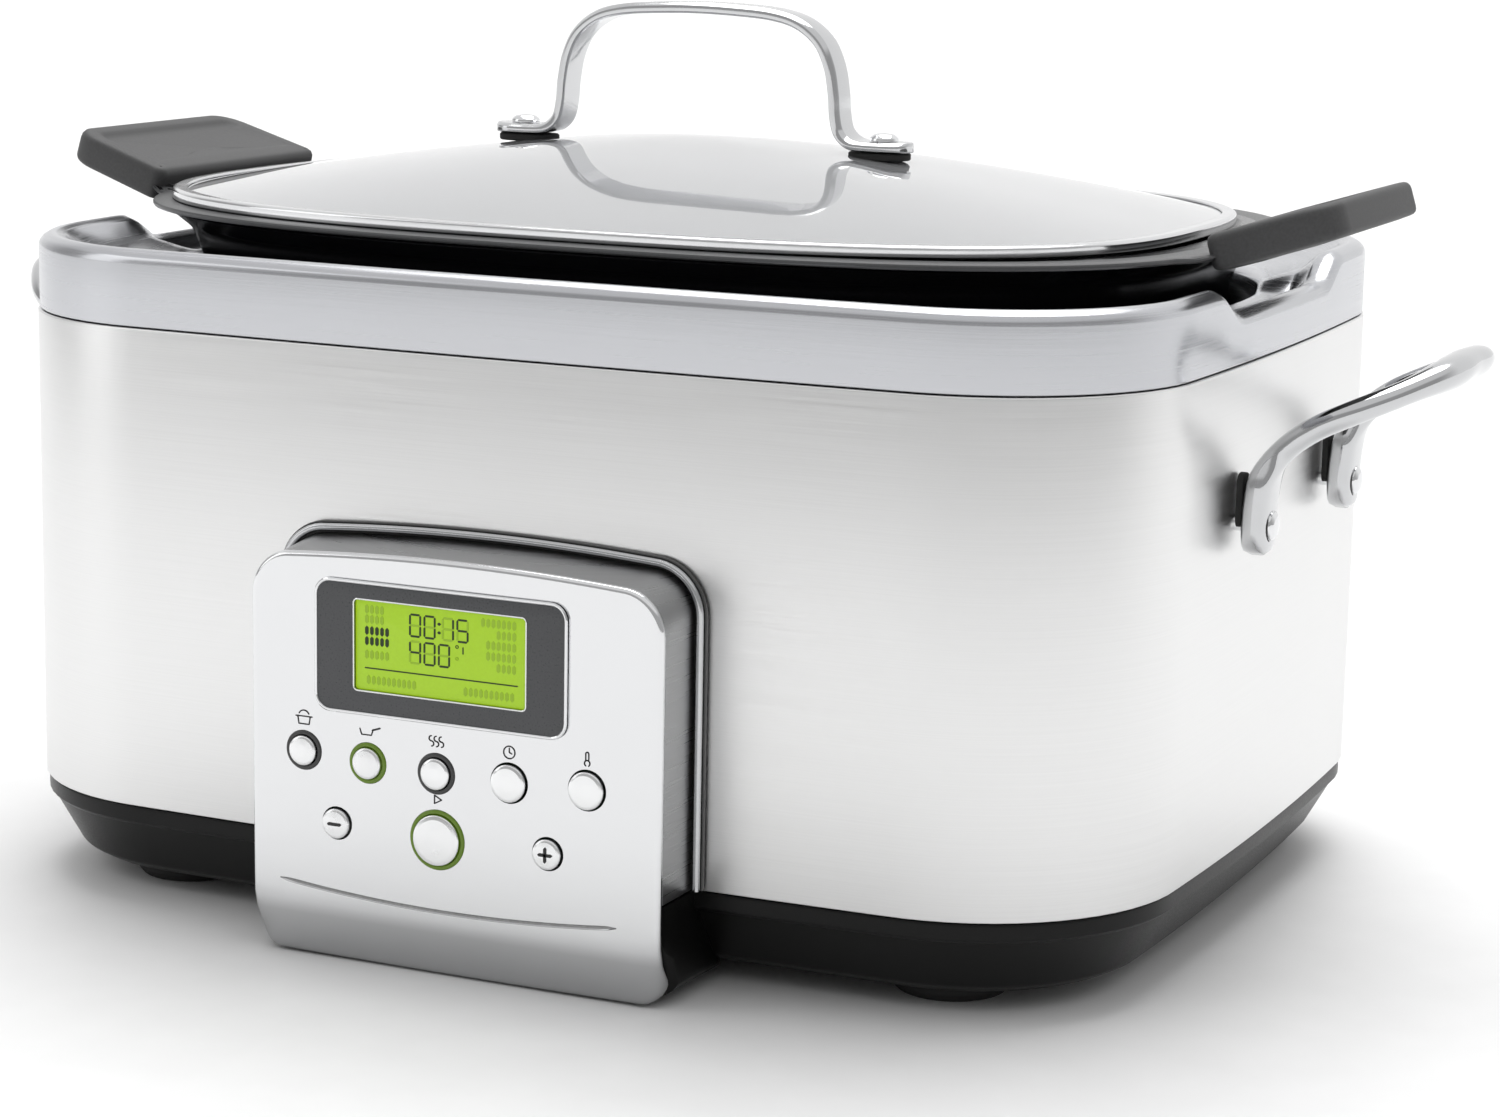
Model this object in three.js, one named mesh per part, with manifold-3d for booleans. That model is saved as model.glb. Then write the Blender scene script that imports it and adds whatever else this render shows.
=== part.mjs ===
// Slow cooker with a lift-out pot, a glass lid and a push-button control panel.
// Millimetres, +Z up, X to the right, the control panel faces -Y.
import * as THREE from 'three';
import { mergeVertices } from 'three/addons/utils/BufferGeometryUtils.js';
import Module from 'manifold-3d';

const wasm = await Module();
wasm.setup();

// ---------------------------------------------------------------- driving dimensions
const GAP = 0.3; // clearance between pieces that touch

// Body: a rounded rectangle whose sides bow out a little.
const BODY_W = 400;
const BODY_D = 312;
const BODY_CORNER = 68;
const BODY_BOW = 2;
const FOOT_H = 6;
const SHELL_BOTTOM = 32;
const SEAM = 187; // top of the shell, bottom of the collar
const CREST = 211.6; // top of the collar
const SHEET = 1.5;

// Notches in the collar that the pot's handles pass over.
const NOTCH_DEPTH = 8.6;
const NOTCH_FLOOR_HALF = 44;
const NOTCH_TOP_HALF = 66;

// Feet and the opening under the base.
const FOOT_R = 19;
const FOOT_X = 136;
const FOOT_Y = 112;
const BASE_FLOOR = 3;
const COVER_HALF = [118, 74];

// Heating chamber and pot: ovals given as half width, half depth and squareness.
const OVAL_POWER = 2.85;
const WELL = [177, 131];
const WELL_FLOOR = 99;
const PLATE = [150, 104];
const PLATE_TOP = 106.8;
const POT_WALL = [169, 124];
const POT_BASE = [155, 110];
const POT_BOTTOM = PLATE_TOP + GAP;
const POT_FLANGE = [187.6, 132.6];
const FLANGE_T = 1.8;
const POT_TOP = 219.7;
const POT_SHEET = 2.5;

// The sprung temperature sensor in the middle of the heating plate, and the cord's gland.
const SENSOR_HOLE_R = 12;
const SENSOR = { headR: 9, headLow: 97, stemR: 4, cupR: 16, cupFloor: 76, springR: 7, wire: 0.7 };
const CORD = { x: 120, z: 62, hole: 7 };

// Lid.
const LID = [176.5, 124];
const LID_X = -6; // the lid rests a little to the left of the pot's middle
const LID_BOTTOM = POT_TOP + GAP;
const LID_EDGE_TOP = 222.7;
const LID_CROWN = 243.7;
const DOME_POWER = 1.6;
const GLASS_T = 2;
const LID_RIVET_X = 66.4;
const LID_FOOT_Z = 241.5;
const STRAP_T = 3.8;
const STRAP_W = 13;

// Pot handles: a flat lug in a soft grip, tilted up.
const GRIP_TILT = THREE.MathUtils.degToRad(17);
const GRIP_INNER_X = 189.5;
const GRIP_INNER_Z = 221.6;
const GRIP_LENGTH = 38;
const GRIP_T = 10;
const LUG_T = 2;
const LUG_DROP = 1; // below the middle of the grip
// The lug's half-widths: where it leaves the flange, inside the grip's mouth, at its end.
const LUG = { start: -13.5, rootHalf: 56, neckHalf: 47, far: 31, farHalf: 42 };

// Control panel.
const FACE_Y = -180;
const FACE_T = 2.8;
const FACE_HALF = 70;
const FACE_TOP = 127.4; // where the top edge meets the corner arcs
const FACE_CROWN = 2.1; // how far the top edge bows up
const FACE_CORNER = 14;
const FACE_BOTTOM = 5.4;
const FACE_SAG = 2.8; // how far the bottom edge bows down
const PANEL_X = -3.7; // centre of the display
const BEZEL = { w: 85.2, h: 40.4, z: 100.2, corner: 5 };
const SCREEN = { w: 59, h: 28.4, z: 101.2 };
const BEZEL_PROUD = 1.4;
const BUTTON_PROUD = 1.3;
const RING_W = 1.25;

// Side handles.
const SIDE_RIVET_Y = 47;
const SIDE_RIVET_Z = 139;
const SIDE_FOOT = { bottom: 130, top: 158, w: 18, t: 8 };
const SIDE_BAR_R = 4.6;

// Every button: place on the panel, radius, and whether a light ring goes round it.
const BUTTONS = {
  slow_cook_button: { x: -51.2, z: 66, r: 4.7, ring: true },
  saute_button: { x: -28.7, z: 64.6, r: 4.9, ring: true },
  steam_button: { x: -5, z: 64.2, r: 4.9, ring: true },
  time_button: { x: 19.8, z: 64.4, r: 5.8 },
  temp_button: { x: 45.8, z: 65.4, r: 5.8 },
  minus_button: { x: -39.6, z: 44.4, r: 4.7 },
  plus_button: { x: 32.9, z: 44.3, r: 4.7 },
  start_button: { x: -4.6, z: 43.7, r: 7.9, ring: true },
};

// ---------------------------------------------------------------- materials
function material(color, roughness, metalness, opacity = 1) {
  return new THREE.MeshStandardMaterial({
    color, roughness, metalness, opacity, transparent: opacity < 1,
  });
}

const brushedSteel = () => material(0xdedddb, 0.38, 1);
const polishedSteel = () => material(0xd6d7da, 0.12, 1);
const blackPlastic = () => material(0x0c0c0d, 0.3, 0);
const blackRubber = () => material(0x141414, 0.85, 0);
const greySilicone = () => material(0x3b3b3b, 0.7, 0);
const nonstick = () => material(0x0f0f10, 0.3, 0.1);
const aluminium = () => material(0xa9abad, 0.5, 1);
const boardGreen = () => material(0x1d4a2c, 0.6, 0);

// ---------------------------------------------------------------- solids
function toSolid(geometry) {
  const bare = geometry.clone();
  bare.deleteAttribute('normal');
  bare.deleteAttribute('uv');
  const merged = mergeVertices(bare, 1e-4);
  return new wasm.Manifold(new wasm.Mesh({
    numProp: 3,
    vertProperties: new Float32Array(merged.attributes.position.array),
    triVerts: new Uint32Array(merged.index.array),
  }));
}

function toGeometry(solid) {
  const mesh = solid.getMesh();
  const geometry = new THREE.BufferGeometry();
  geometry.setAttribute('position', new THREE.BufferAttribute(mesh.vertProperties, 3));
  geometry.setIndex(new THREE.BufferAttribute(mesh.triVerts, 1));
  geometry.computeVertexNormals();
  return geometry;
}

function cut(geometry, ...tools) {
  return toGeometry(tools.reduce((solid, tool) => solid.subtract(toSolid(tool)), toSolid(geometry)));
}

function join(geometry, ...others) {
  return toGeometry(others.reduce((solid, other) => solid.add(toSolid(other)), toSolid(geometry)));
}

function meet(geometry, other) {
  return toGeometry(toSolid(geometry).intersect(toSolid(other)));
}

function box(x0, x1, y0, y1, z0, z1) {
  const geometry = new THREE.BoxGeometry(x1 - x0, y1 - y0, z1 - z0);
  return geometry.translate((x0 + x1) / 2, (y0 + y1) / 2, (z0 + z1) / 2);
}

// A cylinder from one point to another along X, Y or Z.
function rod(from, to, radius, sides = 14) {
  const start = new THREE.Vector3(...from);
  const axis = new THREE.Vector3(...to).sub(start);
  const geometry = new THREE.CylinderGeometry(radius, radius, axis.length(), sides);
  geometry.translate(0, axis.length() / 2, 0);
  geometry.applyQuaternion(new THREE.Quaternion().setFromUnitVectors(
    new THREE.Vector3(0, 1, 0), axis.normalize()));
  return geometry.translate(...start.toArray());
}

// A turned piece about Z from [radius, height] pairs.
function turned(profile, sides = 18) {
  const points = profile.map(([radius, height]) => new THREE.Vector2(radius, height));
  return new THREE.LatheGeometry(points, sides).rotateX(Math.PI / 2);
}

// A shape in the XZ plane, extruded in Y from y0 to y1.
function slabY(shape, y0, y1, curveSegments = 6) {
  const geometry = new THREE.ExtrudeGeometry(shape, {
    depth: y1 - y0, bevelEnabled: false, curveSegments,
  });
  return geometry.rotateX(Math.PI / 2).translate(0, y1, 0);
}

// ---------------------------------------------------------------- loops and lofts
const CORNER_STEPS = 5;
const END_SIDE_STEPS = [-0.77, -0.64, -0.51, 0, 0.51, 0.64, 0.77];
const LONG_SIDE_STEPS = [-0.5, 0, 0.5];

// The body's outline, `inset` inside the shell, as points in the XY plane.
function bodyLoop(inset) {
  const halfX = BODY_W / 2 - BODY_BOW - inset;
  const halfY = BODY_D / 2 - BODY_BOW - inset;
  const radius = Math.max(BODY_CORNER - inset, 8);
  const loop = [];
  for (let corner = 0; corner < 4; corner += 1) {
    const start = (corner - 1) * Math.PI / 2;
    const centreX = (halfX - radius) * (corner < 2 ? 1 : -1);
    const centreY = (halfY - radius) * (corner === 1 || corner === 2 ? 1 : -1);
    for (let k = 0; k <= CORNER_STEPS; k += 1) {
      const angle = start + (Math.PI / 2) * k / CORNER_STEPS;
      loop.push([centreX + radius * Math.cos(angle), centreY + radius * Math.sin(angle)]);
    }
    const onEnd = corner % 2 === 0;
    const sign = corner < 1 || corner === 3 ? 1 : -1;
    for (const t of onEnd ? END_SIDE_STEPS : LONG_SIDE_STEPS) {
      const out = BODY_BOW * (1 - t * t);
      if (onEnd) loop.push([sign * (halfX + out), sign * t * (halfY - radius)]);
      else loop.push([sign * t * (halfX - radius), -sign * (halfY + out)]);
    }
  }
  return loop;
}

// Directions round an oval that has no need to match the body's outline.
const OVAL_STEPS = 36;
const ovalDirections = Array.from({ length: OVAL_STEPS }, (_, k) => {
  const angle = (2 * Math.PI * k) / OVAL_STEPS;
  return [WELL[0] * Math.cos(angle), WELL[1] * Math.sin(angle)];
});

// An oval with one point in each of the given directions.
function ovalLoop([halfX, halfY], directions = ovalDirections) {
  return directions.map(([x, y]) => {
    const reach = (Math.abs(x) / halfX) ** OVAL_POWER + (Math.abs(y) / halfY) ** OVAL_POWER;
    const scale = reach ** (-1 / OVAL_POWER);
    return [x * scale, y * scale];
  });
}

function at(loop, height) {
  return loop.map(([x, y]) => [x, y, height]);
}

function shrink([halfX, halfY], inset) {
  return [halfX - inset, halfY - inset];
}

// A closed mesh through a stack of loops. The first and last loops are joined to each
// other (a ring-shaped piece) or capped (a solid piece).
function loft(loops, capped = false) {
  const count = loops[0].length;
  const positions = loops.flat();
  const faces = [];
  const spans = capped ? loops.length - 1 : loops.length;
  for (let k = 0; k < spans; k += 1) {
    const low = k * count;
    const high = ((k + 1) % loops.length) * count;
    for (let i = 0; i < count; i += 1) {
      const j = (i + 1) % count;
      faces.push(low + i, low + j, high + j, low + i, high + j, high + i);
    }
  }
  if (capped) {
    const last = (loops.length - 1) * count;
    positions.push([0, 0, loops[0][0][2]], [0, 0, loops.at(-1)[0][2]]);
    for (let i = 0; i < count; i += 1) {
      const j = (i + 1) % count;
      faces.push(positions.length - 2, j, i, positions.length - 1, last + i, last + j);
    }
  }
  const geometry = new THREE.BufferGeometry();
  geometry.setAttribute('position', new THREE.Float32BufferAttribute(positions.flat(), 3));
  geometry.setIndex(faces);
  geometry.computeVertexNormals();
  return geometry;
}

// A round bar along a curve, with flat ends.
function bar(points, radius, steps, sides = 10) {
  const curve = new THREE.CatmullRomCurve3(points.map((point) => new THREE.Vector3(...point)));
  const section = new THREE.Shape();
  for (let k = 0; k < sides; k += 1) {
    const angle = (2 * Math.PI * k) / sides;
    const place = [radius * Math.cos(angle), radius * Math.sin(angle)];
    if (k === 0) section.moveTo(...place);
    else section.lineTo(...place);
  }
  return new THREE.ExtrudeGeometry(section, { steps, extrudePath: curve, bevelEnabled: false });
}

function roundedRect(halfX, halfZ, radius, centreX = 0, centreZ = 0) {
  const shape = new THREE.Shape();
  shape.moveTo(centreX - halfX + radius, centreZ - halfZ);
  shape.lineTo(centreX + halfX - radius, centreZ - halfZ);
  shape.absarc(centreX + halfX - radius, centreZ - halfZ + radius, radius, -Math.PI / 2, 0);
  shape.lineTo(centreX + halfX, centreZ + halfZ - radius);
  shape.absarc(centreX + halfX - radius, centreZ + halfZ - radius, radius, 0, Math.PI / 2);
  shape.lineTo(centreX - halfX + radius, centreZ + halfZ);
  shape.absarc(centreX - halfX + radius, centreZ + halfZ - radius, radius, Math.PI / 2, Math.PI);
  shape.lineTo(centreX - halfX, centreZ - halfZ + radius);
  shape.absarc(centreX - halfX + radius, centreZ - halfZ + radius, radius, Math.PI, 1.5 * Math.PI);
  return shape;
}

// ---------------------------------------------------------------- base
// How the panel's lower edge rolls back under itself, `inset` behind the chrome face.
function panelRoll(inset) {
  const curve = new THREE.CubicBezierCurve(
    new THREE.Vector2(FACE_Y, 34), new THREE.Vector2(FACE_Y, 20),
    new THREE.Vector2(FACE_Y + 6, 6), new THREE.Vector2(FACE_Y + 15, 1.4));
  return curve.getPoints(7).map((point, k) => {
    const tangent = curve.getTangent(k / 7);
    return [point.x - tangent.y * inset, point.y + tangent.x * inset];
  });
}

// A side profile of [y, z] points, extruded in X between -half and +half.
function slabX(profile, half) {
  const shape = new THREE.Shape(profile.map(([y, z]) => new THREE.Vector2(y, z)));
  const geometry = new THREE.ExtrudeGeometry(shape, { depth: 2 * half, bevelEnabled: false });
  const toRowAxes = new THREE.Matrix4().makeBasis(
    new THREE.Vector3(0, 1, 0), new THREE.Vector3(0, 0, 1), new THREE.Vector3(1, 0, 0));
  return geometry.translate(0, 0, -half).applyMatrix4(toRowAxes);
}

function baseTray() {
  const floorTop = FOOT_H + BASE_FLOOR;
  const rim = SHELL_BOTTOM - GAP;
  const tray = loft([
    at(bodyLoop(90), FOOT_H), at(bodyLoop(17), FOOT_H), at(bodyLoop(12.6), 7.4),
    at(bodyLoop(10.8), 10.5), at(bodyLoop(2.6), 25.4), at(bodyLoop(1.6), 26),
    at(bodyLoop(1), rim), at(bodyLoop(2.2), rim), at(bodyLoop(2.2), rim + 7),
    at(bodyLoop(4.4), rim + 7), at(bodyLoop(5), 25.4), at(bodyLoop(13), 12),
    at(bodyLoop(17), floorTop), at(bodyLoop(90), floorTop),
  ]);
  const back = -BODY_D / 2 + 18;
  const rolled = panelRoll(FACE_T + GAP).filter(([, z]) => z < rim - 1);
  const underPanel = slabX([[FACE_Y + FACE_T + GAP, rim], ...rolled, [back, 3], [back, rim]],
    FACE_HALF - 1);
  const wiring = box(-64, 64, FACE_Y + 9, -BODY_D / 2 + 8, 9, SEAM);
  return cut(join(tray, underPanel), wiring);
}

function bottomCover() {
  const thickness = 2;
  const plate = roundedRect(...COVER_HALF, 12);
  const geometry = new THREE.ExtrudeGeometry(plate, {
    depth: thickness, bevelEnabled: false, curveSegments: 4,
  });
  return geometry.translate(0, 0, FOOT_H - GAP - thickness);
}

function foot() {
  const top = FOOT_H - GAP;
  return turned([[0, 0], [FOOT_R - 2.5, 0], [FOOT_R - 1, 0.8], [FOOT_R, 3], [FOOT_R, top], [0, top]]);
}

// ---------------------------------------------------------------- shell and collar
function outerShell() {
  const wall = loft([
    at(bodyLoop(0), SHELL_BOTTOM), at(bodyLoop(0), SEAM),
    at(bodyLoop(SHEET), SEAM), at(bodyLoop(SHEET), SHELL_BOTTOM),
  ]);
  const front = -BODY_D / 2;
  const panelOpening = box(-56, 56, front - 10, front + 10, 42, 114);
  const rivetHoles = [-1, 1].map((side) => rod(
    [-BODY_W, side * SIDE_RIVET_Y, SIDE_RIVET_Z],
    [BODY_W, side * SIDE_RIVET_Y, SIDE_RIVET_Z], 3.2, 12));
  const cordHole = rod([CORD.x, 0, CORD.z], [CORD.x, BODY_D, CORD.z], CORD.hole);
  return cut(wall, panelOpening, ...rivetHoles, cordHole);
}

// The collar's drop at a point of the loop: a notch with sloping sides at each end.
function notchDrop(x, y) {
  const slope = (NOTCH_TOP_HALF - Math.abs(y)) / (NOTCH_TOP_HALF - NOTCH_FLOOR_HALF);
  const atEnd = Math.abs(x) > BODY_W / 2 - BODY_CORNER;
  return atEnd ? NOTCH_DEPTH * THREE.MathUtils.smoothstep(slope, 0, 1) : 0;
}

function topCollar() {
  const low = SEAM + GAP;
  const notched = (loop, height) => loop.map(([x, y]) => [x, y, height - notchDrop(x, y)]);
  const lip = (inset) => ovalLoop(shrink(WELL, inset), bodyLoop(0));
  return loft([
    at(bodyLoop(0.5), low), notched(bodyLoop(0.6), CREST - 6), notched(bodyLoop(1.8), CREST - 2.6),
    notched(bodyLoop(5), CREST), notched(bodyLoop(8.6), CREST - 1.2),
    notched(bodyLoop(11), CREST - 4.4), at(lip(-1), 200.5), at(lip(-1), low),
    at(lip(-1 - SHEET), low), at(lip(-1 - SHEET), 199),
    notched(bodyLoop(10.5), CREST - 8), notched(bodyLoop(5), CREST - 2.6),
    notched(bodyLoop(2.2), CREST - 6), at(bodyLoop(0.5 + SHEET), low),
  ]);
}

// ---------------------------------------------------------------- heating chamber
function innerLiner() {
  const top = SEAM - GAP;
  const bottom = WELL_FLOOR;
  const floorHole = rod([0, 0, bottom - 5], [0, 0, bottom + 5], SENSOR_HOLE_R);
  const tub = loft([
    at(ovalLoop(shrink(WELL, 15)), bottom), at(ovalLoop(shrink(WELL, 5)), bottom + 3),
    at(ovalLoop(shrink(WELL, -SHEET)), bottom + 14), at(ovalLoop(shrink(WELL, -SHEET)), top - SHEET),
    at(ovalLoop(shrink(WELL, -5)), top - SHEET), at(ovalLoop(shrink(WELL, -5)), top),
    at(ovalLoop(WELL), top), at(ovalLoop(WELL), bottom + 14),
    at(ovalLoop(shrink(WELL, 6.5)), bottom + 4.5), at(ovalLoop(shrink(WELL, 15)), bottom + SHEET),
  ], true);
  return cut(tub, floorHole);
}

function heatingPlate() {
  const low = WELL_FLOOR + SHEET + GAP;
  const disc = loft([
    at(ovalLoop(PLATE), low), at(ovalLoop(PLATE), PLATE_TOP - 1), at(ovalLoop(shrink(PLATE, 1)), PLATE_TOP),
  ], true);
  return cut(disc, rod([0, 0, low - 5], [0, 0, PLATE_TOP + 5], SENSOR_HOLE_R - 1));
}

// A tubular heater that follows an oval under the chamber and stops at its two ends.
function heatingElement() {
  const radius = 3.2;
  const [halfX, halfY] = [118, 76];
  const centreZ = WELL_FLOOR - GAP - radius;
  const points = [];
  for (let degrees = -70; degrees <= 250; degrees += 20) {
    const angle = THREE.MathUtils.degToRad(degrees);
    points.push([halfX * Math.cos(angle), halfY * Math.sin(angle), centreZ]);
  }
  return bar(points, radius, 30, 6);
}

function heatShield() {
  const top = 88;
  const size = [168, 122];
  const tray = loft([
    at(ovalLoop(shrink(size, 10)), top - 4), at(ovalLoop(size), top), at(ovalLoop(shrink(size, 1.4)), top),
    at(ovalLoop(shrink(size, 11)), top - 2.8),
  ], true);
  return cut(tray, rod([0, 0, top - 10], [0, 0, top + 10], 21));
}

// ---------------------------------------------------------------- pot sensor
function sensorPlunger() {
  const top = POT_BOTTOM - GAP;
  const { headR, headLow, stemR } = SENSOR;
  return turned([[0, 73], [stemR, 73], [stemR, headLow], [headR, headLow],
    [headR, top - 1.5], [headR - 1.5, top], [0, top]]);
}

function sensorBracket() {
  const { cupR, cupFloor } = SENSOR;
  const top = WELL_FLOOR - GAP;
  return turned([[5, cupFloor], [cupR, cupFloor], [cupR, top - 2], [cupR + 4, top - 2], [cupR + 4, top],
    [cupR - 1.5, top], [cupR - 1.5, cupFloor + 2], [5, cupFloor + 2], [5, cupFloor]]);
}

function sensorSpring() {
  const { springR, wire, cupFloor, headLow } = SENSOR;
  const low = cupFloor + 2 + GAP + wire;
  const high = headLow - GAP - wire;
  const turns = 4;
  const steps = 8 * turns;
  const points = [];
  for (let k = 0; k <= steps; k += 1) {
    const angle = (2 * Math.PI * turns * k) / steps;
    points.push([springR * Math.cos(angle), springR * Math.sin(angle), low + (high - low) * k / steps]);
  }
  return bar(points, wire, steps, 5);
}

// ---------------------------------------------------------------- control panel
// The panel's outline in XZ: bowed top, rounded corners, grown by `grow` all round.
function panelShape(grow, bottom, sag) {
  const half = FACE_HALF + grow;
  const top = FACE_TOP + grow;
  const corner = FACE_CORNER + grow;
  const shape = new THREE.Shape();
  shape.moveTo(-half, bottom);
  shape.quadraticCurveTo(0, bottom - 2 * sag, half, bottom);
  shape.lineTo(half, top - corner);
  shape.absarc(half - corner, top - corner, corner, 0, Math.PI / 2);
  shape.quadraticCurveTo(0, top + 2 * FACE_CROWN, -half + corner, top);
  shape.absarc(-half + corner, top - corner, corner, Math.PI / 2, Math.PI);
  return shape;
}

function panelFascia() {
  const outer = panelRoll(0);
  const inner = panelRoll(FACE_T).reverse();
  const profile = [[FACE_Y, 140], ...outer, ...inner, [FACE_Y + FACE_T, 140]];
  const plate = meet(slabX(profile, FACE_HALF + 5),
    slabY(panelShape(0, FACE_BOTTOM, FACE_SAG), FACE_Y - 5, FACE_Y + 30, 8));
  const tools = [slabY(roundedRect(BEZEL.w / 2 + GAP, BEZEL.h / 2 + GAP, BEZEL.corner + GAP,
    PANEL_X, BEZEL.z), FACE_Y - 5, FACE_Y + 8, 4)];
  for (const { x, z, r, ring } of Object.values(BUTTONS)) {
    const hole = r + (ring ? RING_W + 2 * GAP : 0.6);
    tools.push(rod([x, FACE_Y - 5, z], [x, FACE_Y + 8, z], hole));
  }
  return cut(plate, ...tools);
}

// Steel sides and top between the chrome face and the shell.
function panelHousing() {
  const wall = 2.4;
  const low = SHELL_BOTTOM + 0.2;
  const front = FACE_Y + FACE_T + GAP;
  const back = -BODY_D / 2 - GAP;
  const outside = slabY(panelShape(-0.4, low, 0), front, back, 8);
  const inside = slabY(panelShape(-0.4 - wall, low - 20, 0), front - 5, back + 5, 8);
  return cut(outside, inside);
}

function panelTrimRing() {
  const width = 2.4;
  const back = -BODY_D / 2 - GAP;
  const low = SHELL_BOTTOM + 0.2;
  const outside = slabY(panelShape(width, low, 0), back - 3.2, back, 8);
  const inside = slabY(panelShape(0, low - 20, 0), back - 10, back + 5, 8);
  return cut(outside, inside);
}

function displayBezel() {
  const shape = roundedRect(BEZEL.w / 2, BEZEL.h / 2, BEZEL.corner, PANEL_X, BEZEL.z);
  const window = roundedRect(SCREEN.w / 2, SCREEN.h / 2, 1.5, PANEL_X, SCREEN.z);
  return cut(slabY(shape, FACE_Y - BEZEL_PROUD, FACE_Y + 4, 4), slabY(window, FACE_Y - 9, FACE_Y + 9, 2));
}

function displayScreen() {
  const shape = roundedRect(SCREEN.w / 2 - GAP, SCREEN.h / 2 - GAP, 1.2, PANEL_X, SCREEN.z);
  return slabY(shape, FACE_Y - 0.3, FACE_Y + 6, 2);
}

function controlBoard() {
  return box(-58, 58, FACE_Y + 9.6, FACE_Y + 11.2, 38, 121);
}

// A cap, and a flange behind the chrome face that holds it in.
function pushButton({ x, z, r, ring }) {
  const flange = r + (ring ? 0 : 1.6);
  const behind = -FACE_T - 0.4;
  const back = -FACE_T - 4.6;
  const profile = [[0, back], [r - 1.5, back], [r - 1.5, behind - 1], [flange, behind - 1],
    [flange, behind], [r, behind], [r, BUTTON_PROUD], [0, BUTTON_PROUD]];
  return turned(profile, 12).rotateX(Math.PI / 2).translate(x, FACE_Y, z);
}

function lightRing({ x, z, r }) {
  const inner = r + GAP;
  const outer = inner + RING_W;
  const profile = [[inner, -FACE_T - 1], [outer, -FACE_T - 1], [outer, 0.5], [inner, 0.5],
    [inner, -FACE_T - 1]];
  return turned(profile, 18).rotateX(Math.PI / 2).translate(x, FACE_Y, z);
}

// ---------------------------------------------------------------- power
function powerBoard() {
  return box(-88, 88, -46, 50, 20, 21.6);
}

// The cord's strain relief: a flanged sleeve through the back of the shell.
function cordGland() {
  const bore = 3.6;
  const wall = BODY_D / 2;
  const profile = [[bore, -8], [6.6, -8], [6.6, GAP], [10, GAP], [10, 3], [7.4, 5], [5.8, 14], [bore, 14],
    [bore, -8]];
  return turned(profile).rotateX(-Math.PI / 2).translate(CORD.x, wall, CORD.z);
}

// ---------------------------------------------------------------- side handles (right one)
const SIDE_FOOT_X = BODY_W / 2 + 2 * GAP + 2;

function sideHandle() {
  const { bottom, top, w, t } = SIDE_FOOT;
  const half = [
    [SIDE_FOOT_X + 5, SIDE_RIVET_Y, 149], [SIDE_FOOT_X + 6.6, SIDE_RIVET_Y, 156],
    [SIDE_FOOT_X + 10.5, SIDE_RIVET_Y, 163], [SIDE_FOOT_X + 20, SIDE_RIVET_Y, 169.8],
    [SIDE_FOOT_X + 33, SIDE_RIVET_Y - 1, 175], [SIDE_FOOT_X + 43.4, SIDE_RIVET_Y - 9, 180.8],
    [SIDE_FOOT_X + 50.4, SIDE_RIVET_Y - 22, 184],
  ];
  const near = half.map(([x, y, z]) => [x, -y, z]);
  const loop = bar([...near, [SIDE_FOOT_X + 52.4, 0, 185.4], ...half.reverse()], SIDE_BAR_R, 30, 8);
  const feet = [-1, 1].map((side) => {
    const pad = slabY(roundedRect(w / 2, (top - bottom) / 2, w / 2 - 1, 0, (top + bottom) / 2), 0, t, 3);
    return pad.rotateZ(-Math.PI / 2).translate(SIDE_FOOT_X, side * SIDE_RIVET_Y, 0);
  });
  const holes = [-1, 1].map((side) => rod(
    [BODY_W / 2, side * SIDE_RIVET_Y, SIDE_RIVET_Z],
    [BODY_W / 2 + 30, side * SIDE_RIVET_Y, SIDE_RIVET_Z], 3.2, 12));
  return cut(join(loop, ...feet), ...holes);
}

function sideGasket(side) {
  const { bottom, top, w } = SIDE_FOOT;
  const pad = slabY(roundedRect(w / 2 - 0.6, (top - bottom) / 2 - 0.6, w / 2 - 1.6, 0,
    (top + bottom) / 2), 0, 2, 3);
  pad.rotateZ(-Math.PI / 2).translate(BODY_W / 2 + GAP, side * SIDE_RIVET_Y, 0);
  return cut(pad, rod([BODY_W / 2, side * SIDE_RIVET_Y, SIDE_RIVET_Z],
    [BODY_W / 2 + 9, side * SIDE_RIVET_Y, SIDE_RIVET_Z], 3.2, 12));
}

// Shank through the foot, gasket and shell, upset inside the shell.
function sideRivet(side) {
  const inside = -5.4;
  const face = SIDE_FOOT_X - BODY_W / 2 + SIDE_FOOT.t + GAP;
  const profile = [[0, inside], [5, inside], [5, inside + 2.2], [2.8, inside + 2.2], [2.8, face],
    [4.6, face], [4.2, face + 1.2], [2.6, face + 2.2], [0, face + 2.6]];
  return turned(profile, 12).rotateY(Math.PI / 2)
    .translate(BODY_W / 2, side * SIDE_RIVET_Y, SIDE_RIVET_Z);
}

// ---------------------------------------------------------------- pot
// The lug's outline, seen from above in the handle's tilted frame (u outward, v along Y).
function lugShape(grow) {
  const far = LUG.far + grow;
  const corners = [[LUG.start, LUG.rootHalf], [2, LUG.neckHalf], [far, LUG.farHalf]];
  const shape = new THREE.Shape();
  shape.moveTo(LUG.start, -LUG.rootHalf - grow);
  for (const [u, half] of corners.slice(1)) shape.lineTo(u, -half - grow);
  for (const [u, half] of corners.reverse()) shape.lineTo(u, half + grow);
  return shape;
}

// From the handle's tilted frame to the row's, for the right-hand handle.
function tilt(geometry) {
  return geometry.rotateY(-GRIP_TILT).translate(GRIP_INNER_X, 0, GRIP_INNER_Z);
}

function plate(shape, thickness, curveSegments = 4) {
  const geometry = new THREE.ExtrudeGeometry(shape, {
    depth: thickness, bevelEnabled: false, curveSegments,
  });
  return geometry.translate(0, 0, -thickness / 2);
}

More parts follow.
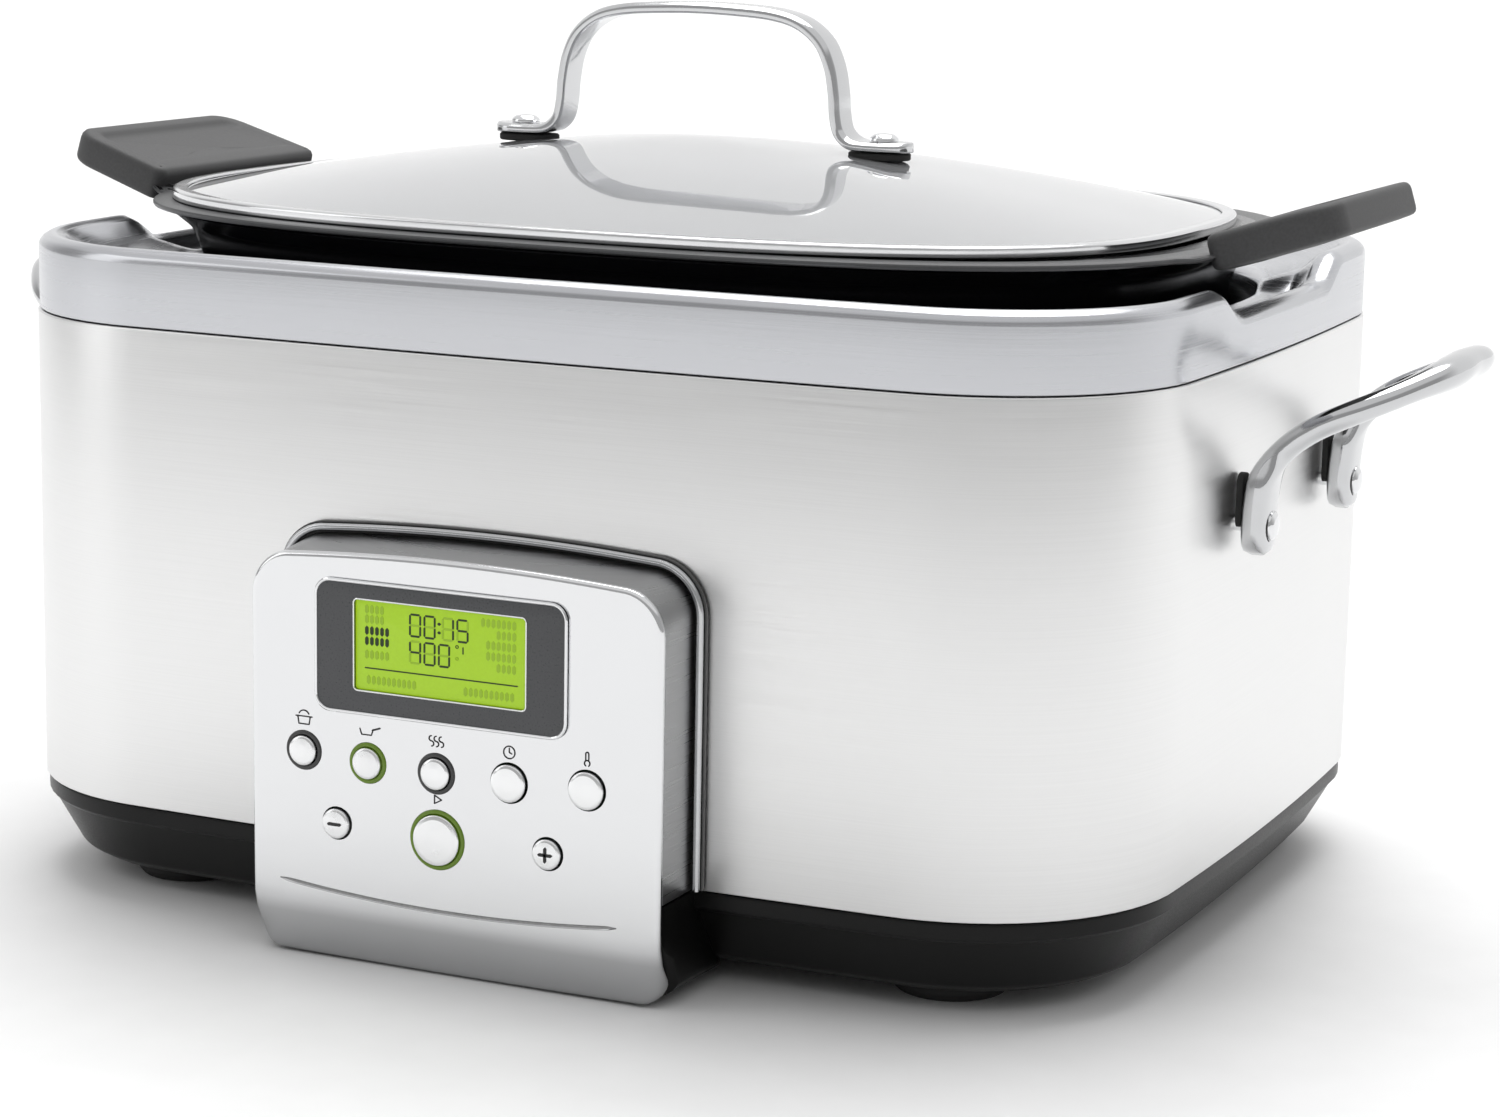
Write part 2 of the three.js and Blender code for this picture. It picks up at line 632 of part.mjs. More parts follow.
function cookingPot() {
  const wallIn = shrink(POT_WALL, POT_SHEET);
  const flangeLow = POT_TOP - FLANGE_T;
  const bowl = loft([
    at(ovalLoop(shrink(POT_BASE, 8)), POT_BOTTOM), at(ovalLoop(shrink(POT_BASE, 2)), POT_BOTTOM + 1.6),
    at(ovalLoop(POT_BASE), POT_BOTTOM + 6), at(ovalLoop(POT_WALL), flangeLow - 8),
    at(ovalLoop(shrink(POT_WALL, -3)), flangeLow - 2), at(ovalLoop(shrink(POT_WALL, -7)), flangeLow),
    at(ovalLoop(POT_FLANGE), flangeLow), at(ovalLoop(POT_FLANGE), POT_TOP),
    at(ovalLoop(shrink(POT_WALL, -3)), POT_TOP), at(ovalLoop(wallIn), POT_TOP - 4),
    at(ovalLoop(shrink(POT_BASE, POT_SHEET + 0.4)), POT_BOTTOM + 12),
    at(ovalLoop(shrink(POT_BASE, 6)), POT_BOTTOM + 4.4),
    at(ovalLoop(shrink(POT_BASE, 14)), POT_BOTTOM + 3),
  ], true);
  const lug = tilt(plate(lugShape(0), LUG_T).translate(0, 0, -LUG_DROP));
  return join(bowl, lug, lug.clone().rotateZ(Math.PI));
}

// The grip's outline: a trapezium with rounded corners, narrower at its outer end.
function gripShape(inset) {
  const inner = 51 - inset;
  const outer = 48 - inset;
  const far = GRIP_LENGTH - inset;
  const shape = new THREE.Shape();
  shape.moveTo(inset, -inner + 4);
  shape.quadraticCurveTo(inset, -inner, inset + 4, -inner);
  shape.lineTo(far - 12, -outer - 1);
  shape.quadraticCurveTo(far, -outer, far, -outer + 12);
  shape.lineTo(far, outer - 12);
  shape.quadraticCurveTo(far, outer, far - 12, outer + 1);
  shape.lineTo(inset + 4, inner);
  shape.quadraticCurveTo(inset, inner, inset, inner - 4);
  return shape;
}

function potGrip() {
  const body = plate(gripShape(0), GRIP_T);
  const dish = plate(gripShape(8), GRIP_T).translate(0, 0, GRIP_T - 1.4);
  const pocket = plate(lugShape(GAP), LUG_T + 2 * GAP).translate(0, 0, -LUG_DROP);
  return tilt(cut(body, dish, pocket));
}

// ---------------------------------------------------------------- lid
function lidHeight(share) {
  return LID_EDGE_TOP + 0.2 + (LID_CROWN - LID_EDGE_TOP - 0.2) * (1 - share ** DOME_POWER);
}

function lidGlass() {
  const edge = shrink(LID, 2.5);
  const dome = shrink(LID, 6.2);
  const shares = [1, 0.82, 0.6, 0.36, 0.12];
  const scaled = (share) => ovalLoop([dome[0] * share, dome[1] * share]);
  const under = [...shares].reverse().map((share) => at(scaled(share), lidHeight(share) - GLASS_T));
  const over = shares.map((share) => at(scaled(share), lidHeight(share)));
  const sheet = loft([
    ...under, at(ovalLoop(edge), LID_EDGE_TOP - GLASS_T), at(ovalLoop(edge), LID_EDGE_TOP), ...over,
  ], true);
  const holes = [-1, 1].map((side) => rod(
    [side * LID_RIVET_X, 0, LID_BOTTOM], [side * LID_RIVET_X, 0, LID_CROWN + 5], 3.2, 12));
  return cut(sheet, ...holes);
}

function lidRim() {
  const ring = (inset, height) => at(ovalLoop(shrink(LID, inset)), height);
  const top = LID_EDGE_TOP + 1;
  const underGlass = LID_EDGE_TOP - GLASS_T - GAP;
  return loft([
    ring(0, LID_BOTTOM + 0.8), ring(0, top - 1.2), ring(1.4, top), ring(5.6, top - 0.2),
    ring(5.6, LID_EDGE_TOP + 0.4), ring(2.2, LID_EDGE_TOP + GAP), ring(2.2, underGlass),
    ring(5, underGlass), ring(5, LID_BOTTOM), ring(1, LID_BOTTOM),
  ]);
}

// A strap bent to a square arch with its two ends turned out flat as feet.
function lidHandle() {
  const footZ = LID_FOOT_Z + STRAP_T / 2;
  const half = [[76.6, footZ], [64, footZ], [56, footZ + 1.6], [51, footZ + 6.4], [48.6, 257], [47.3, 267],
    [44.4, 276], [37.5, 282.6], [25, 285.2]];
  const line = [...half.map(([x, z]) => [-x, z]), [0, 286.2], ...half.reverse()];
  const curve = new THREE.CatmullRomCurve3(line.map(([x, z]) => new THREE.Vector3(x, z, 0)));
  const steps = 40;
  const side = (sign) => {
    const edge = [];
    for (let k = 0; k <= steps; k += 1) {
      const point = curve.getPoint(k / steps);
      const tangent = curve.getTangent(k / steps);
      edge.push(new THREE.Vector2(point.x - sign * tangent.y * STRAP_T / 2,
        point.y + sign * tangent.x * STRAP_T / 2));
    }
    return edge;
  };
  const strap = slabY(new THREE.Shape([...side(-1), ...side(1).reverse()]), -STRAP_W / 2, STRAP_W / 2);
  const plan = plate(roundedRect(76.6, STRAP_W / 2, STRAP_W / 2 - 0.1), 90).translate(0, 0, 260);
  const holes = [-1, 1].map((sign) => rod(
    [sign * LID_RIVET_X, 0, LID_FOOT_Z - 5], [sign * LID_RIVET_X, 0, LID_FOOT_Z + 12], 3.2, 12));
  return cut(meet(strap, plan), ...holes);
}

function lidHandleGasket() {
  const low = lidHeight(LID_RIVET_X / (LID[0] - 6.2)) + 1;
  return turned([[3.2, low], [7.6, low], [7.6, LID_FOOT_Z - GAP], [3.2, LID_FOOT_Z - GAP], [3.2, low]]);
}

// Shank through the strap, gasket and glass, with a washer head under the glass.
function lidHandleRivet() {
  const washer = lidHeight(LID_RIVET_X / (LID[0] - 6.2)) - GLASS_T - 1.1;
  const head = LID_FOOT_Z + STRAP_T + GAP;
  return turned([[0, washer - 2], [5, washer - 2], [5, washer], [2.7, washer], [2.7, head], [4.7, head],
    [4.2, head + 1.2], [2.6, head + 2.1], [0, head + 2.4]], 14);
}

// ---------------------------------------------------------------- assembly
// The row's origin is on the table at the middle of the whole footprint, so the body
// stands a little behind it to make room for the panel in front.
const REAR = BODY_D / 2 + 14;
const object = new THREE.Group();
object.name = 'slow_cooker';
const assembly = new THREE.Group();
assembly.position.y = -(FACE_Y - BEZEL_PROUD + REAR) / 2;
object.add(assembly);

function add(name, geometry, look, parent = assembly) {
  const mesh = new THREE.Mesh(geometry, look);
  mesh.name = name;
  parent.add(mesh);
  return mesh;
}

add('base_tray', baseTray(), blackPlastic());
add('bottom_cover', bottomCover(), blackPlastic());
for (const [end, y] of [['front', -FOOT_Y], ['rear', FOOT_Y]]) {
  for (const [side, x] of [['left', -FOOT_X], ['right', FOOT_X]]) {
    add(`foot_${end}_${side}`, foot(), blackRubber()).position.set(x, y, 0);
  }
}
add('outer_shell', outerShell(), brushedSteel());
add('top_collar', topCollar(), polishedSteel());
add('inner_liner', innerLiner(), aluminium());
add('heating_plate', heatingPlate(), aluminium());
add('heating_element', heatingElement(), material(0x5a5450, 0.5, 1));
add('heat_shield', heatShield(), aluminium());
add('sensor_plunger', sensorPlunger(), aluminium());
add('sensor_spring', sensorSpring(), polishedSteel());
add('sensor_bracket', sensorBracket(), brushedSteel());

add('panel_housing', panelHousing(), brushedSteel());
add('panel_trim_ring', panelTrimRing(), polishedSteel());
add('panel_fascia', panelFascia(), polishedSteel());
add('display_bezel', displayBezel(), material(0x4b4d50, 0.3, 0));
add('display_screen', displayScreen(), material(0xa6d608, 0.35, 0));
add('control_board', controlBoard(), boardGreen());
for (const [name, spec] of Object.entries(BUTTONS)) {
  add(name, pushButton(spec), material(0xd9dadb, 0.25, 1));
  if (spec.ring) {
    add(name.replace('button', 'light_ring'), lightRing(spec), material(0x4c5150, 0.4, 0));
  }
}
add('power_board', powerBoard(), boardGreen());
add('cord_gland', cordGland(), blackRubber());

for (const [side, turn] of [['left', Math.PI], ['right', 0]]) {
  const holder = new THREE.Group();
  holder.rotation.z = turn;
  assembly.add(holder);
  add(`side_handle_${side}`, sideHandle(), polishedSteel(), holder);
  for (const [end, sign] of [['front', -1], ['rear', 1]]) {
    const ySide = turn ? -sign : sign;
    add(`side_handle_gasket_${side}_${end}`, sideGasket(ySide), blackRubber(), holder);
    add(`side_handle_rivet_${side}_${end}`, sideRivet(ySide), polishedSteel(), holder);
  }
}

add('cooking_pot', cookingPot(), nonstick());
add('pot_grip_left', potGrip(), greySilicone()).rotation.z = Math.PI;
add('pot_grip_right', potGrip(), greySilicone());

const lid = new THREE.Group();
lid.position.x = LID_X;
assembly.add(lid);
add('lid_glass', lidGlass(), material(0xdfe5e8, 0.05, 0, 0.35), lid);
add('lid_rim', lidRim(), polishedSteel(), lid);
add('lid_handle', lidHandle(), polishedSteel(), lid);
for (const [side, x] of [['left', -LID_RIVET_X], ['right', LID_RIVET_X]]) {
  add(`lid_handle_gasket_${side}`, lidHandleGasket(), blackRubber(), lid).position.x = x;
  add(`lid_handle_rivet_${side}`, lidHandleRivet(), polishedSteel(), lid).position.x = x;
}

export default object;
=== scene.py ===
"""Looks of the slow cooker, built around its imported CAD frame. Lengths are in millimetres
until a mesh is made; the row frame is in metres, +Z up, with the control panel facing -Y."""
import math

import bmesh
import bpy
import numpy as np
from mathutils import Matrix, Vector


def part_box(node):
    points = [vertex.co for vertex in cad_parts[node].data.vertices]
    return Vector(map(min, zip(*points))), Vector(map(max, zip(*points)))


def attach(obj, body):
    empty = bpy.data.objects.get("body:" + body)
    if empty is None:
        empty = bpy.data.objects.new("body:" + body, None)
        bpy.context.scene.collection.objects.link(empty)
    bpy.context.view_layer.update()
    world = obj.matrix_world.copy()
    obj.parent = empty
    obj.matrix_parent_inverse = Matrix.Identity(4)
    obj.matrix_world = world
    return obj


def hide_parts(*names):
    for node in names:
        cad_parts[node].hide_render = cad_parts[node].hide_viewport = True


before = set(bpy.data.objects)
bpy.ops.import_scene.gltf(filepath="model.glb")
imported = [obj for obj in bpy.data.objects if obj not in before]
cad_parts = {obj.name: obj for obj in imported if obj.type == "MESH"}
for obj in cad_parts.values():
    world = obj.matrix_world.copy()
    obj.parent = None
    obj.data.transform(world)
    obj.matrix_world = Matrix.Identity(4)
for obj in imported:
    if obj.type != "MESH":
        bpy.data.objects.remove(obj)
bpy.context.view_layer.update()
MM = 0.001


def box_mm(node):
    low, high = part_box(node)
    return np.array(low) / MM, np.array(high) / MM


def middle_and_half(node):
    """The middle of a node's box and half of its size."""
    low, high = box_mm(node)
    return (low + high) / 2, (high - low) / 2


# --- sizes from the frame
SHELL_LO, SHELL_HI = box_mm("outer_shell")
COLLAR_LO, COLLAR_HI = box_mm("top_collar")
FACE_LO, FACE_HI = box_mm("panel_fascia")
POT_LO, POT_HI = box_mm("cooking_pot")
RIM_LO, RIM_HI = box_mm("lid_rim")
GLASS_TOP = box_mm("lid_glass")[1][2]
CENTRE_Y = (SHELL_LO[1] + SHELL_HI[1]) / 2
CENTRE = np.array([0.0, CENTRE_Y])
BODY_HALF = (SHELL_HI[:2] - SHELL_LO[:2]) / 2
FACE_Y = FACE_LO[1]
FACE_HALF = FACE_HI[0]
FACE_TOP = FACE_HI[2]

# Shape constants that the boxes don't give.
BODY_CORNER = 68
BODY_BOW = 2
NOTCH_DEPTH = 8.6
NOTCH_FLOOR_HALF = 44
NOTCH_TOP_HALF = 66
OVAL_POWER = 2.85
OVAL_HALF = np.array([183.0, 138.0])  # what the chamber and the pot's wall are inset from
OVAL_POINTS = 176
OVAL_SPREAD = (1.4, 1)  # spaces an oval's points evenly, as it is longer along X
FLANGE_HALF = np.array([187.6, (POT_HI[1] - POT_LO[1]) / 2])
FLANGE_T = 1.8
LID_X = (RIM_LO[0] + RIM_HI[0]) / 2
POT_TOP = RIM_LO[2] - 0.3
BASE_TOP = SHELL_LO[2] - 0.3
GRIP_TILT = math.radians(17)


# --- materials
def shader_of(material):
    return material.node_tree.nodes["Principled BSDF"]


def new_material(name, color, roughness, metallic=0.0, **sockets):
    """A Principled material. Its scalars are set on the shader's own sockets."""
    made = bpy.data.materials.new(name)
    made.use_nodes = True
    inputs = shader_of(made).inputs
    inputs["Base Color"].default_value = (*color, 1)
    inputs["Roughness"].default_value = roughness
    inputs["Metallic"].default_value = metallic
    for socket, value in sockets.items():
        inputs[socket.replace("_", " ")].default_value = value
    return made


def add_node(owner, kind, **inputs):
    """A new node in a material's or a world's tree, with some of its sockets set."""
    node = owner.node_tree.nodes.new(kind)
    for socket, value in inputs.items():
        node.inputs[socket].default_value = value
    return node


def link(owner, source, target, output=0):
    owner.node_tree.links.new(source.outputs[output], target)


def axes(owner, kind):
    """The coordinates of one kind, split into X, Y and Z."""
    place = add_node(owner, "ShaderNodeTexCoord")
    split = add_node(owner, "ShaderNodeSeparateXYZ")
    link(owner, place, split.inputs["Vector"], kind)
    return split


def map_range(owner, source, output, from_low, from_high, low, high):
    """A node that spreads an output from one range to another."""
    node = add_node(owner, "ShaderNodeMapRange", **{
        "From Min": from_low, "From Max": from_high, "To Min": low, "To Max": high})
    link(owner, source, node.inputs["Value"], output)
    return node


def noise(material, stretch, detail):
    """Noise over the object's own coordinates; stretch is in cycles per metre."""
    place = add_node(material, "ShaderNodeTexCoord")
    mapping = add_node(material, "ShaderNodeMapping", Scale=stretch)
    texture = add_node(material, "ShaderNodeTexNoise", Scale=1.0, Detail=detail)
    link(material, place, mapping.inputs["Vector"], "Object")
    link(material, mapping, texture.inputs["Vector"])
    return texture


NOISE_SPAN = (0.3, 0.7)  # the values between which noise does nearly all of its varying


def vary(material, texture, socket, low, high):
    """The texture drives one of the shader's scalars between two values."""
    spread = map_range(material, texture, 0, *NOISE_SPAN, low, high)
    link(material, spread, shader_of(material).inputs[socket])


def color_ramp(material, source, output, stops):
    """The source drives the base colour along stops of (position, colour)."""
    ramp = add_node(material, "ShaderNodeValToRGB")
    elements = ramp.color_ramp.elements
    while len(elements) < len(stops):
        elements.new(0.5)
    for element, (position, color) in zip(elements, stops):
        element.position = position
        element.color = (*color, 1)
    link(material, source, ramp.inputs["Fac"], output)
    link(material, ramp, shader_of(material).inputs["Base Color"])


def tint(material, texture, dark, light):
    """The texture drives the base colour between two colours."""
    color_ramp(material, texture, 0, list(zip(NOISE_SPAN, (dark, light))))


def bump(material, texture, distance):
    node = add_node(material, "ShaderNodeBump", Strength=1.0, Distance=distance)
    link(material, texture, node.inputs["Height"])
    link(material, node, shader_of(material).inputs["Normal"])


def grey(value):
    return (value, value, value)


def brushed(name, light, dark, roughness, depth):
    """Steel with fine level brush lines that run round the body."""
    made = new_material(name, light, roughness, 1.0)
    lines = noise(made, (14, 14, 2600), 2.0)
    tint(made, lines, dark, light)
    vary(made, lines, "Roughness", roughness - 0.05, roughness + 0.07)
    bump(made, lines, depth)
    return made


def polished(name, color, roughness=0.06):
    """Mirror-polished steel with a faint unevenness of polish."""
    made = new_material(name, color, roughness, 1.0)
    haze = noise(made, (60, 60, 60), 5.0)
    vary(made, haze, "Roughness", roughness * 0.6, roughness * 1.5)
    bump(made, noise(made, (25, 25, 25), 1.0), 0.00004)
    return made


def moulded(name, color, roughness, grain_size, grain_depth, **sockets):
    """Moulded plastic, rubber or coating with a fine surface grain."""
    made = new_material(name, color, roughness, **sockets)
    cycles = 1 / grain_size
    grain = noise(made, (cycles, cycles, cycles), 2.0)
    tint(made, grain, tuple(c * 0.85 for c in color), tuple(c * 1.15 for c in color))
    vary(made, grain, "Roughness", roughness - 0.04, roughness + 0.06)
    bump(made, grain, grain_depth)
    return made


LOOK = {
    "shell": brushed("shell_steel", (0.835, 0.835, 0.832), (0.80, 0.80, 0.797), 0.34, 0.000005),
    "housing": brushed("housing_steel", (0.42, 0.422, 0.428), (0.414, 0.416, 0.422), 0.30, 0.0000004),
    "collar": brushed("collar_steel", (0.56, 0.567, 0.59), (0.535, 0.542, 0.565), 0.21, 0.000002),
    "trim": polished("trim_steel", (0.55, 0.555, 0.565), 0.16),
    "chrome": polished("polished_steel", (0.78, 0.785, 0.795), 0.05),
    "cast": polished("cast_steel", (0.60, 0.605, 0.615), 0.10),
    "strap": polished("strap_steel", (0.62, 0.625, 0.635), 0.11),
    "rim": polished("rim_steel", (0.74, 0.745, 0.755), 0.12),
    "fascia": polished("fascia_steel", (0.77, 0.775, 0.785), 0.10),
    "button": polished("button_steel", (0.86, 0.865, 0.87), 0.24),
    "base": moulded("base_plastic", grey(0.004), 0.32, 0.0006, 0.000004, Specular_IOR_Level=0.22),
    "rubber": moulded("black_rubber", grey(0.018), 0.75, 0.0008, 0.00003),
    "silicone": moulded("grip_silicone", (0.050, 0.050, 0.051), 0.58, 0.0009, 0.00003),
    "nonstick": moulded("nonstick_coating", (0.003, 0.003, 0.0035), 0.16, 0.0007, 0.000004,
                        Specular_IOR_Level=0.2),
    "flange": moulded("flange_coating", (0.045, 0.046, 0.048), 0.34, 0.0007, 0.000012),
    "aluminium": brushed("bare_aluminium", (0.66, 0.67, 0.68), (0.56, 0.57, 0.58), 0.36, 0.00002),
    "bezel": moulded("bezel_plastic", (0.060, 0.062, 0.066), 0.30, 0.0006, 0.000004),
    "crease": moulded("crease_shade", grey(0.30), 0.5, 0.001, 0.000005),
    # Near-black painted shade, for the gap inside the trim ring and the grooves round the handle
    # rivets.
    "dark": moulded("painted_gap_shade", grey(0.006), 0.6, 0.001, 0.00001),
    "board": moulded("circuit_board", (0.02, 0.09, 0.04), 0.45, 0.0015, 0.00002),
    "ring_off": moulded("light_ring_off", grey(0.045), 0.32, 0.0008, 0.000005),
    "ink": moulded("panel_ink", grey(0.02), 0.5, 0.0008, 0.000005),
}


def lit(name, color, glow, strength):
    """Backlit plastic that glows evenly, with a fine speckle."""
    made = new_material(name, color, 0.3, Emission_Strength=strength)
    shader_of(made).inputs["Emission Color"].default_value = (*glow, 1)
    speckle = noise(made, (1200, 1200, 1200), 2.0)
    tint(made, speckle, tuple(c * 0.93 for c in color), color)
    return made


LOOK["screen"] = lit("screen_glow", (0.24, 0.39, 0.01), (0.40, 0.66, 0.01), 0.42)
LOOK["screen_faint"] = lit("screen_faint_marks", (0.17, 0.28, 0.01), (0.40, 0.66, 0.01), 0.30)
LOOK["screen_dark"] = moulded("screen_dark_marks", (0.012, 0.03, 0.004), 0.5, 0.001, 0.000004)
LOOK["ring_on"] = lit("light_ring_on", (0.10, 0.17, 0.01), (0.16, 0.30, 0.01), 0.16)


def make_glass():
    """Clear tempered glass with a faint haze of washing."""
    made = new_material("lid_glass", (0.80, 0.81, 0.83), 0.03, Transmission_Weight=0.62, IOR=1.5,
                        Coat_Weight=1.0, Coat_IOR=1.6)
    haze = noise(made, (30, 30, 30), 4.0)
    vary(made, haze, "Roughness", 0.01, 0.05)
    return made


LOOK["glass"] = make_glass()


def paint_shade_below(material, steps):
    """Paints shade into a steel's colour where the panel turns under itself, standing in for the
    shadowed floor that the lower roll reflects. steps are (height in millimetres, share of the
    colour), going down."""
    color = tuple(shader_of(material).inputs["Base Color"].default_value)[:3]
    high, low = steps[0][0], steps[-1][0]
    depth = map_range(material, axes(material, "Object"), "Z", high * MM, low * MM, 0, 1)
    stops = [((high - height) / (high - low), tuple(c * share for c in color))
             for height, share in steps]
    color_ramp(material, depth, "Result", stops)


# Painted shade: the fascia's colour darkens below the crease, towards the bottom of its roll.
paint_shade_below(LOOK["fascia"], ((22, 1.0), (18, 0.90), (14, 0.66), (1, 0.52)))


# --- meshes
def solid_mesh(name, points, faces):
    """A mesh from points in millimetres, with its faces turned outwards."""
    mesh = bpy.data.meshes.new(name)
    mesh.from_pydata((np.asarray(points) * MM).tolist(), [], faces)
    mesh.validate()
    shaped = bmesh.new()
    shaped.from_mesh(mesh)
    bmesh.ops.recalc_face_normals(shaped, faces=shaped.faces)
    shaped.to_mesh(mesh)
    shaped.free()
    mesh.update()
    return mesh


def add_object(name, data):
    made = bpy.data.objects.new(name, data)
    bpy.context.scene.collection.objects.link(made)
    return made


def mesh_piece(name, part, look, replaces=(), body="housing", sharp=32, cutters=()):
    """An object from (points, faces) in millimetres. It rides on a body, may replace nodes
    and may have solids cut out of it."""
    piece = add_object(name, solid_mesh(name, *part))
    if cutters:
        carve(piece, cutters)
    mesh = piece.data
    mesh.materials.clear()
    mesh.materials.append(LOOK[look])
    mesh.polygons.foreach_set("use_smooth", [True] * len(mesh.polygons))
    mesh.set_sharp_from_angle(angle=math.radians(sharp))
    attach(piece, body)
    if replaces:
        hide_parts(*replaces)


def carve(piece, cutters):
    """Cuts solids, given as (points, faces), out of a piece."""
    cutter = add_object("cutter", solid_mesh("cutter", *merge(*cutters)))
    modifier = piece.modifiers.new("carve", "BOOLEAN")
    modifier.operation = "DIFFERENCE"
    modifier.solver = "MANIFOLD"
    modifier.object = cutter
    depsgraph = bpy.context.evaluated_depsgraph_get()
    carved = bpy.data.meshes.new_from_object(piece.evaluated_get(depsgraph))
    piece.modifiers.clear()
    piece.data = carved
    bpy.data.objects.remove(cutter)


def loft(loops, ring=False):
    """Points and faces through a stack of closed loops of 3-D points: a ring-shaped
    piece, or a solid one with flat ends."""
    count, last = len(loops[0]), len(loops) - 1
    faces = []
    for k in range(last + 1 if ring else last):
        low, high = k * count, (0 if k == last else k + 1) * count
        for i in range(count):
            j = (i + 1) % count
            faces.append((low + i, low + j, high + j, high + i))
    if not ring:
        faces.append(tuple(reversed(range(count))))
        faces.append(tuple(range(last * count, (last + 1) * count)))
    return np.concatenate(loops), faces


def merge(*parts):
    """Several (points, faces) pairs as one."""
    points, faces, start = [], [], 0
    for part_points, part_faces in parts:
        points.append(np.asarray(part_points))
        faces += [tuple(start + i for i in face) for face in part_faces]
        start += len(part_points)
    return np.concatenate(points), faces


def moved(part, matrix):
    points, faces = part
    return np.asarray(points) @ np.array(matrix.to_3x3()).T + np.array(matrix.translation), faces


def fillet(points, radii, closed=True, steps=5):
    """A polyline with its corners rounded: one radius for each point."""
    points = [np.asarray(p, float) for p in points]
    out = []
    for i, (point, radius) in enumerate(zip(points, radii)):
        if radius <= 0 or (not closed and i in (0, len(points) - 1)):
            out.append(point)
            continue
        before, after = points[i - 1] - point, points[(i + 1) % len(points)] - point
        u, v = before / np.linalg.norm(before), after / np.linalg.norm(after)
        half = math.acos(max(-1, min(1, float(u @ v)))) / 2
        reach = min(radius / math.tan(half), 0.49 * np.linalg.norm(before),
                    0.49 * np.linalg.norm(after))
        radius = reach * math.tan(half)
        middle = u + v
        centre = point + middle / np.linalg.norm(middle) * radius / math.sin(half)
        start, end = point + u * reach - centre, point + v * reach - centre
        sweep = math.pi - 2 * half
        for k in range(steps + 1):
            t = k / steps
            out.append(centre + (start * math.sin((1 - t) * sweep) + end * math.sin(t * sweep))
                       / math.sin(sweep))
    return np.array(out)


def smoothstep(x, low=0.0, high=1.0):
    t = np.clip((np.asarray(x, float) - low) / (high - low), 0, 1)
    return t * t * (3 - 2 * t)


def unit_rows(vectors):
    return vectors / np.linalg.norm(vectors, axis=1)[:, None]


def unit_circle(count):
    angles = 2 * np.pi * np.arange(count) / count
    return np.stack([np.cos(angles), np.sin(angles)], 1)


def upright(outline, y):
    """An outline of (x, z) pairs as 3-D points at one depth."""
    return np.column_stack([outline[:, 0], np.full(len(outline), y), outline[:, 1]])


def flat(outline, z):
    """An outline of (x, y) pairs as 3-D points at one height."""
    return np.column_stack([outline, np.full(len(outline), z)])


def edge_steps(radius, steps):
    """(inset, depth) pairs round an edge of this radius, from its side to its face."""
    if not radius:
        return [(0, 0)]
    angles = [math.pi / 2 * k / steps for k in range(steps + 1)]
    return [(radius * (1 - math.cos(a)), radius * (1 - math.sin(a))) for a in angles]


def travelled(path):
    """The distance along a path to each of its points."""
    return np.r_[0, np.cumsum(np.linalg.norm(np.diff(path, axis=0), axis=1))]


# --- outlines
CORNER_STEPS = 16
END_STEPS = 40
FRONT_STEPS = 24


def body_loop(inset):
    """The body's outline in the XY plane, inset inside the shell: four round corners, each
    followed by a slightly bowed side."""
    half = BODY_HALF - BODY_BOW - inset
    radius = max(BODY_CORNER - inset, 8)
    straight = half - radius
    loop = []
    for corner, (x, y) in enumerate(((1, -1), (1, 1), (-1, 1), (-1, -1))):
        for k in range(CORNER_STEPS + 1):
            angle = (corner - 1 + k / CORNER_STEPS) * math.pi / 2
            loop.append(straight * (x, y) + radius * np.array([math.cos(angle), math.sin(angle)]))
        along_y = x != y  # the side that follows this corner runs along Y
        steps = END_STEPS if along_y else FRONT_STEPS
        for k in range(1, steps):
            t = 2 * k / steps - 1
            out = BODY_BOW * (1 - t * t)
            if along_y:
                loop.append(np.array([x * (half[0] + out), x * t * straight[1]]))
            else:
                loop.append(np.array([-y * t * straight[0], y * (half[1] + out)]))
    return np.array(loop)


def oval_loop(half, directions=None):
    """An oval in the XY plane, of one point in each direction."""
    if directions is None:
        directions = unit_circle(OVAL_POINTS) * OVAL_SPREAD
    reach = (np.abs(directions / half) ** OVAL_POWER).sum(1)
    return directions * (reach ** (-1 / OVAL_POWER))[:, None]


def lift(loop, height):
    """A loop in the XY plane about the body's centre, as 3-D points."""
    height = np.broadcast_to(height, (len(loop),))
    return np.column_stack([loop + CENTRE, height])


def body_stack(profile):
    return [lift(body_loop(inset), height) for inset, height in profile]


def oval_stack(profile, outer=OVAL_HALF, shift=0.0):
    return [lift(oval_loop(outer - inset) + (shift, 0), height) for inset, height in profile]


# --- turned and swept pieces
def turned(corners, radii, place, closed=False, count=48):
    """A piece turned about Z and moved to its place, from (radius, height) corners that are
    rounded by radii. They start and end on the axis, or they close on themselves."""
    circle = unit_circle(count)
    least = 0.01  # keeps the points of a loop on the axis apart
    loops = [flat(circle * max(radius, least), height)
             for radius, height in fillet(corners, radii, closed)]
    return moved(loft(loops, ring=closed), place)


def towards(direction, place):
    """Turns +Z to a direction and moves the origin to a place, in millimetres."""
    turn = Vector(direction).to_track_quat("Z", "Y").to_matrix().to_4x4()
    return Matrix.Translation(Vector(place)) @ turn


def catmull(points, steps):
    """A smooth curve through control points, resampled to even spacing."""
    points = np.asarray(points, float)
    padded = np.vstack([2 * points[0] - points[1], points, 2 * points[-1] - points[-2]])
    fine = []
    for k in range(len(points) - 1):
        p0, p1, p2, p3 = padded[k:k + 4]
        for t in np.linspace(0, 1, 24, endpoint=False):
            fine.append(0.5 * (2 * p1 + (p2 - p0) * t + (2 * p0 - 5 * p1 + 4 * p2 - p3) * t ** 2
                               + (3 * p1 - p0 - 3 * p2 + p3) * t ** 3))
    fine = np.array([*fine, points[-1]])
    distance = travelled(fine)
    at = np.linspace(0, distance[-1], steps + 1)
    return np.column_stack([np.interp(at, distance, fine[:, i]) for i in range(3)])


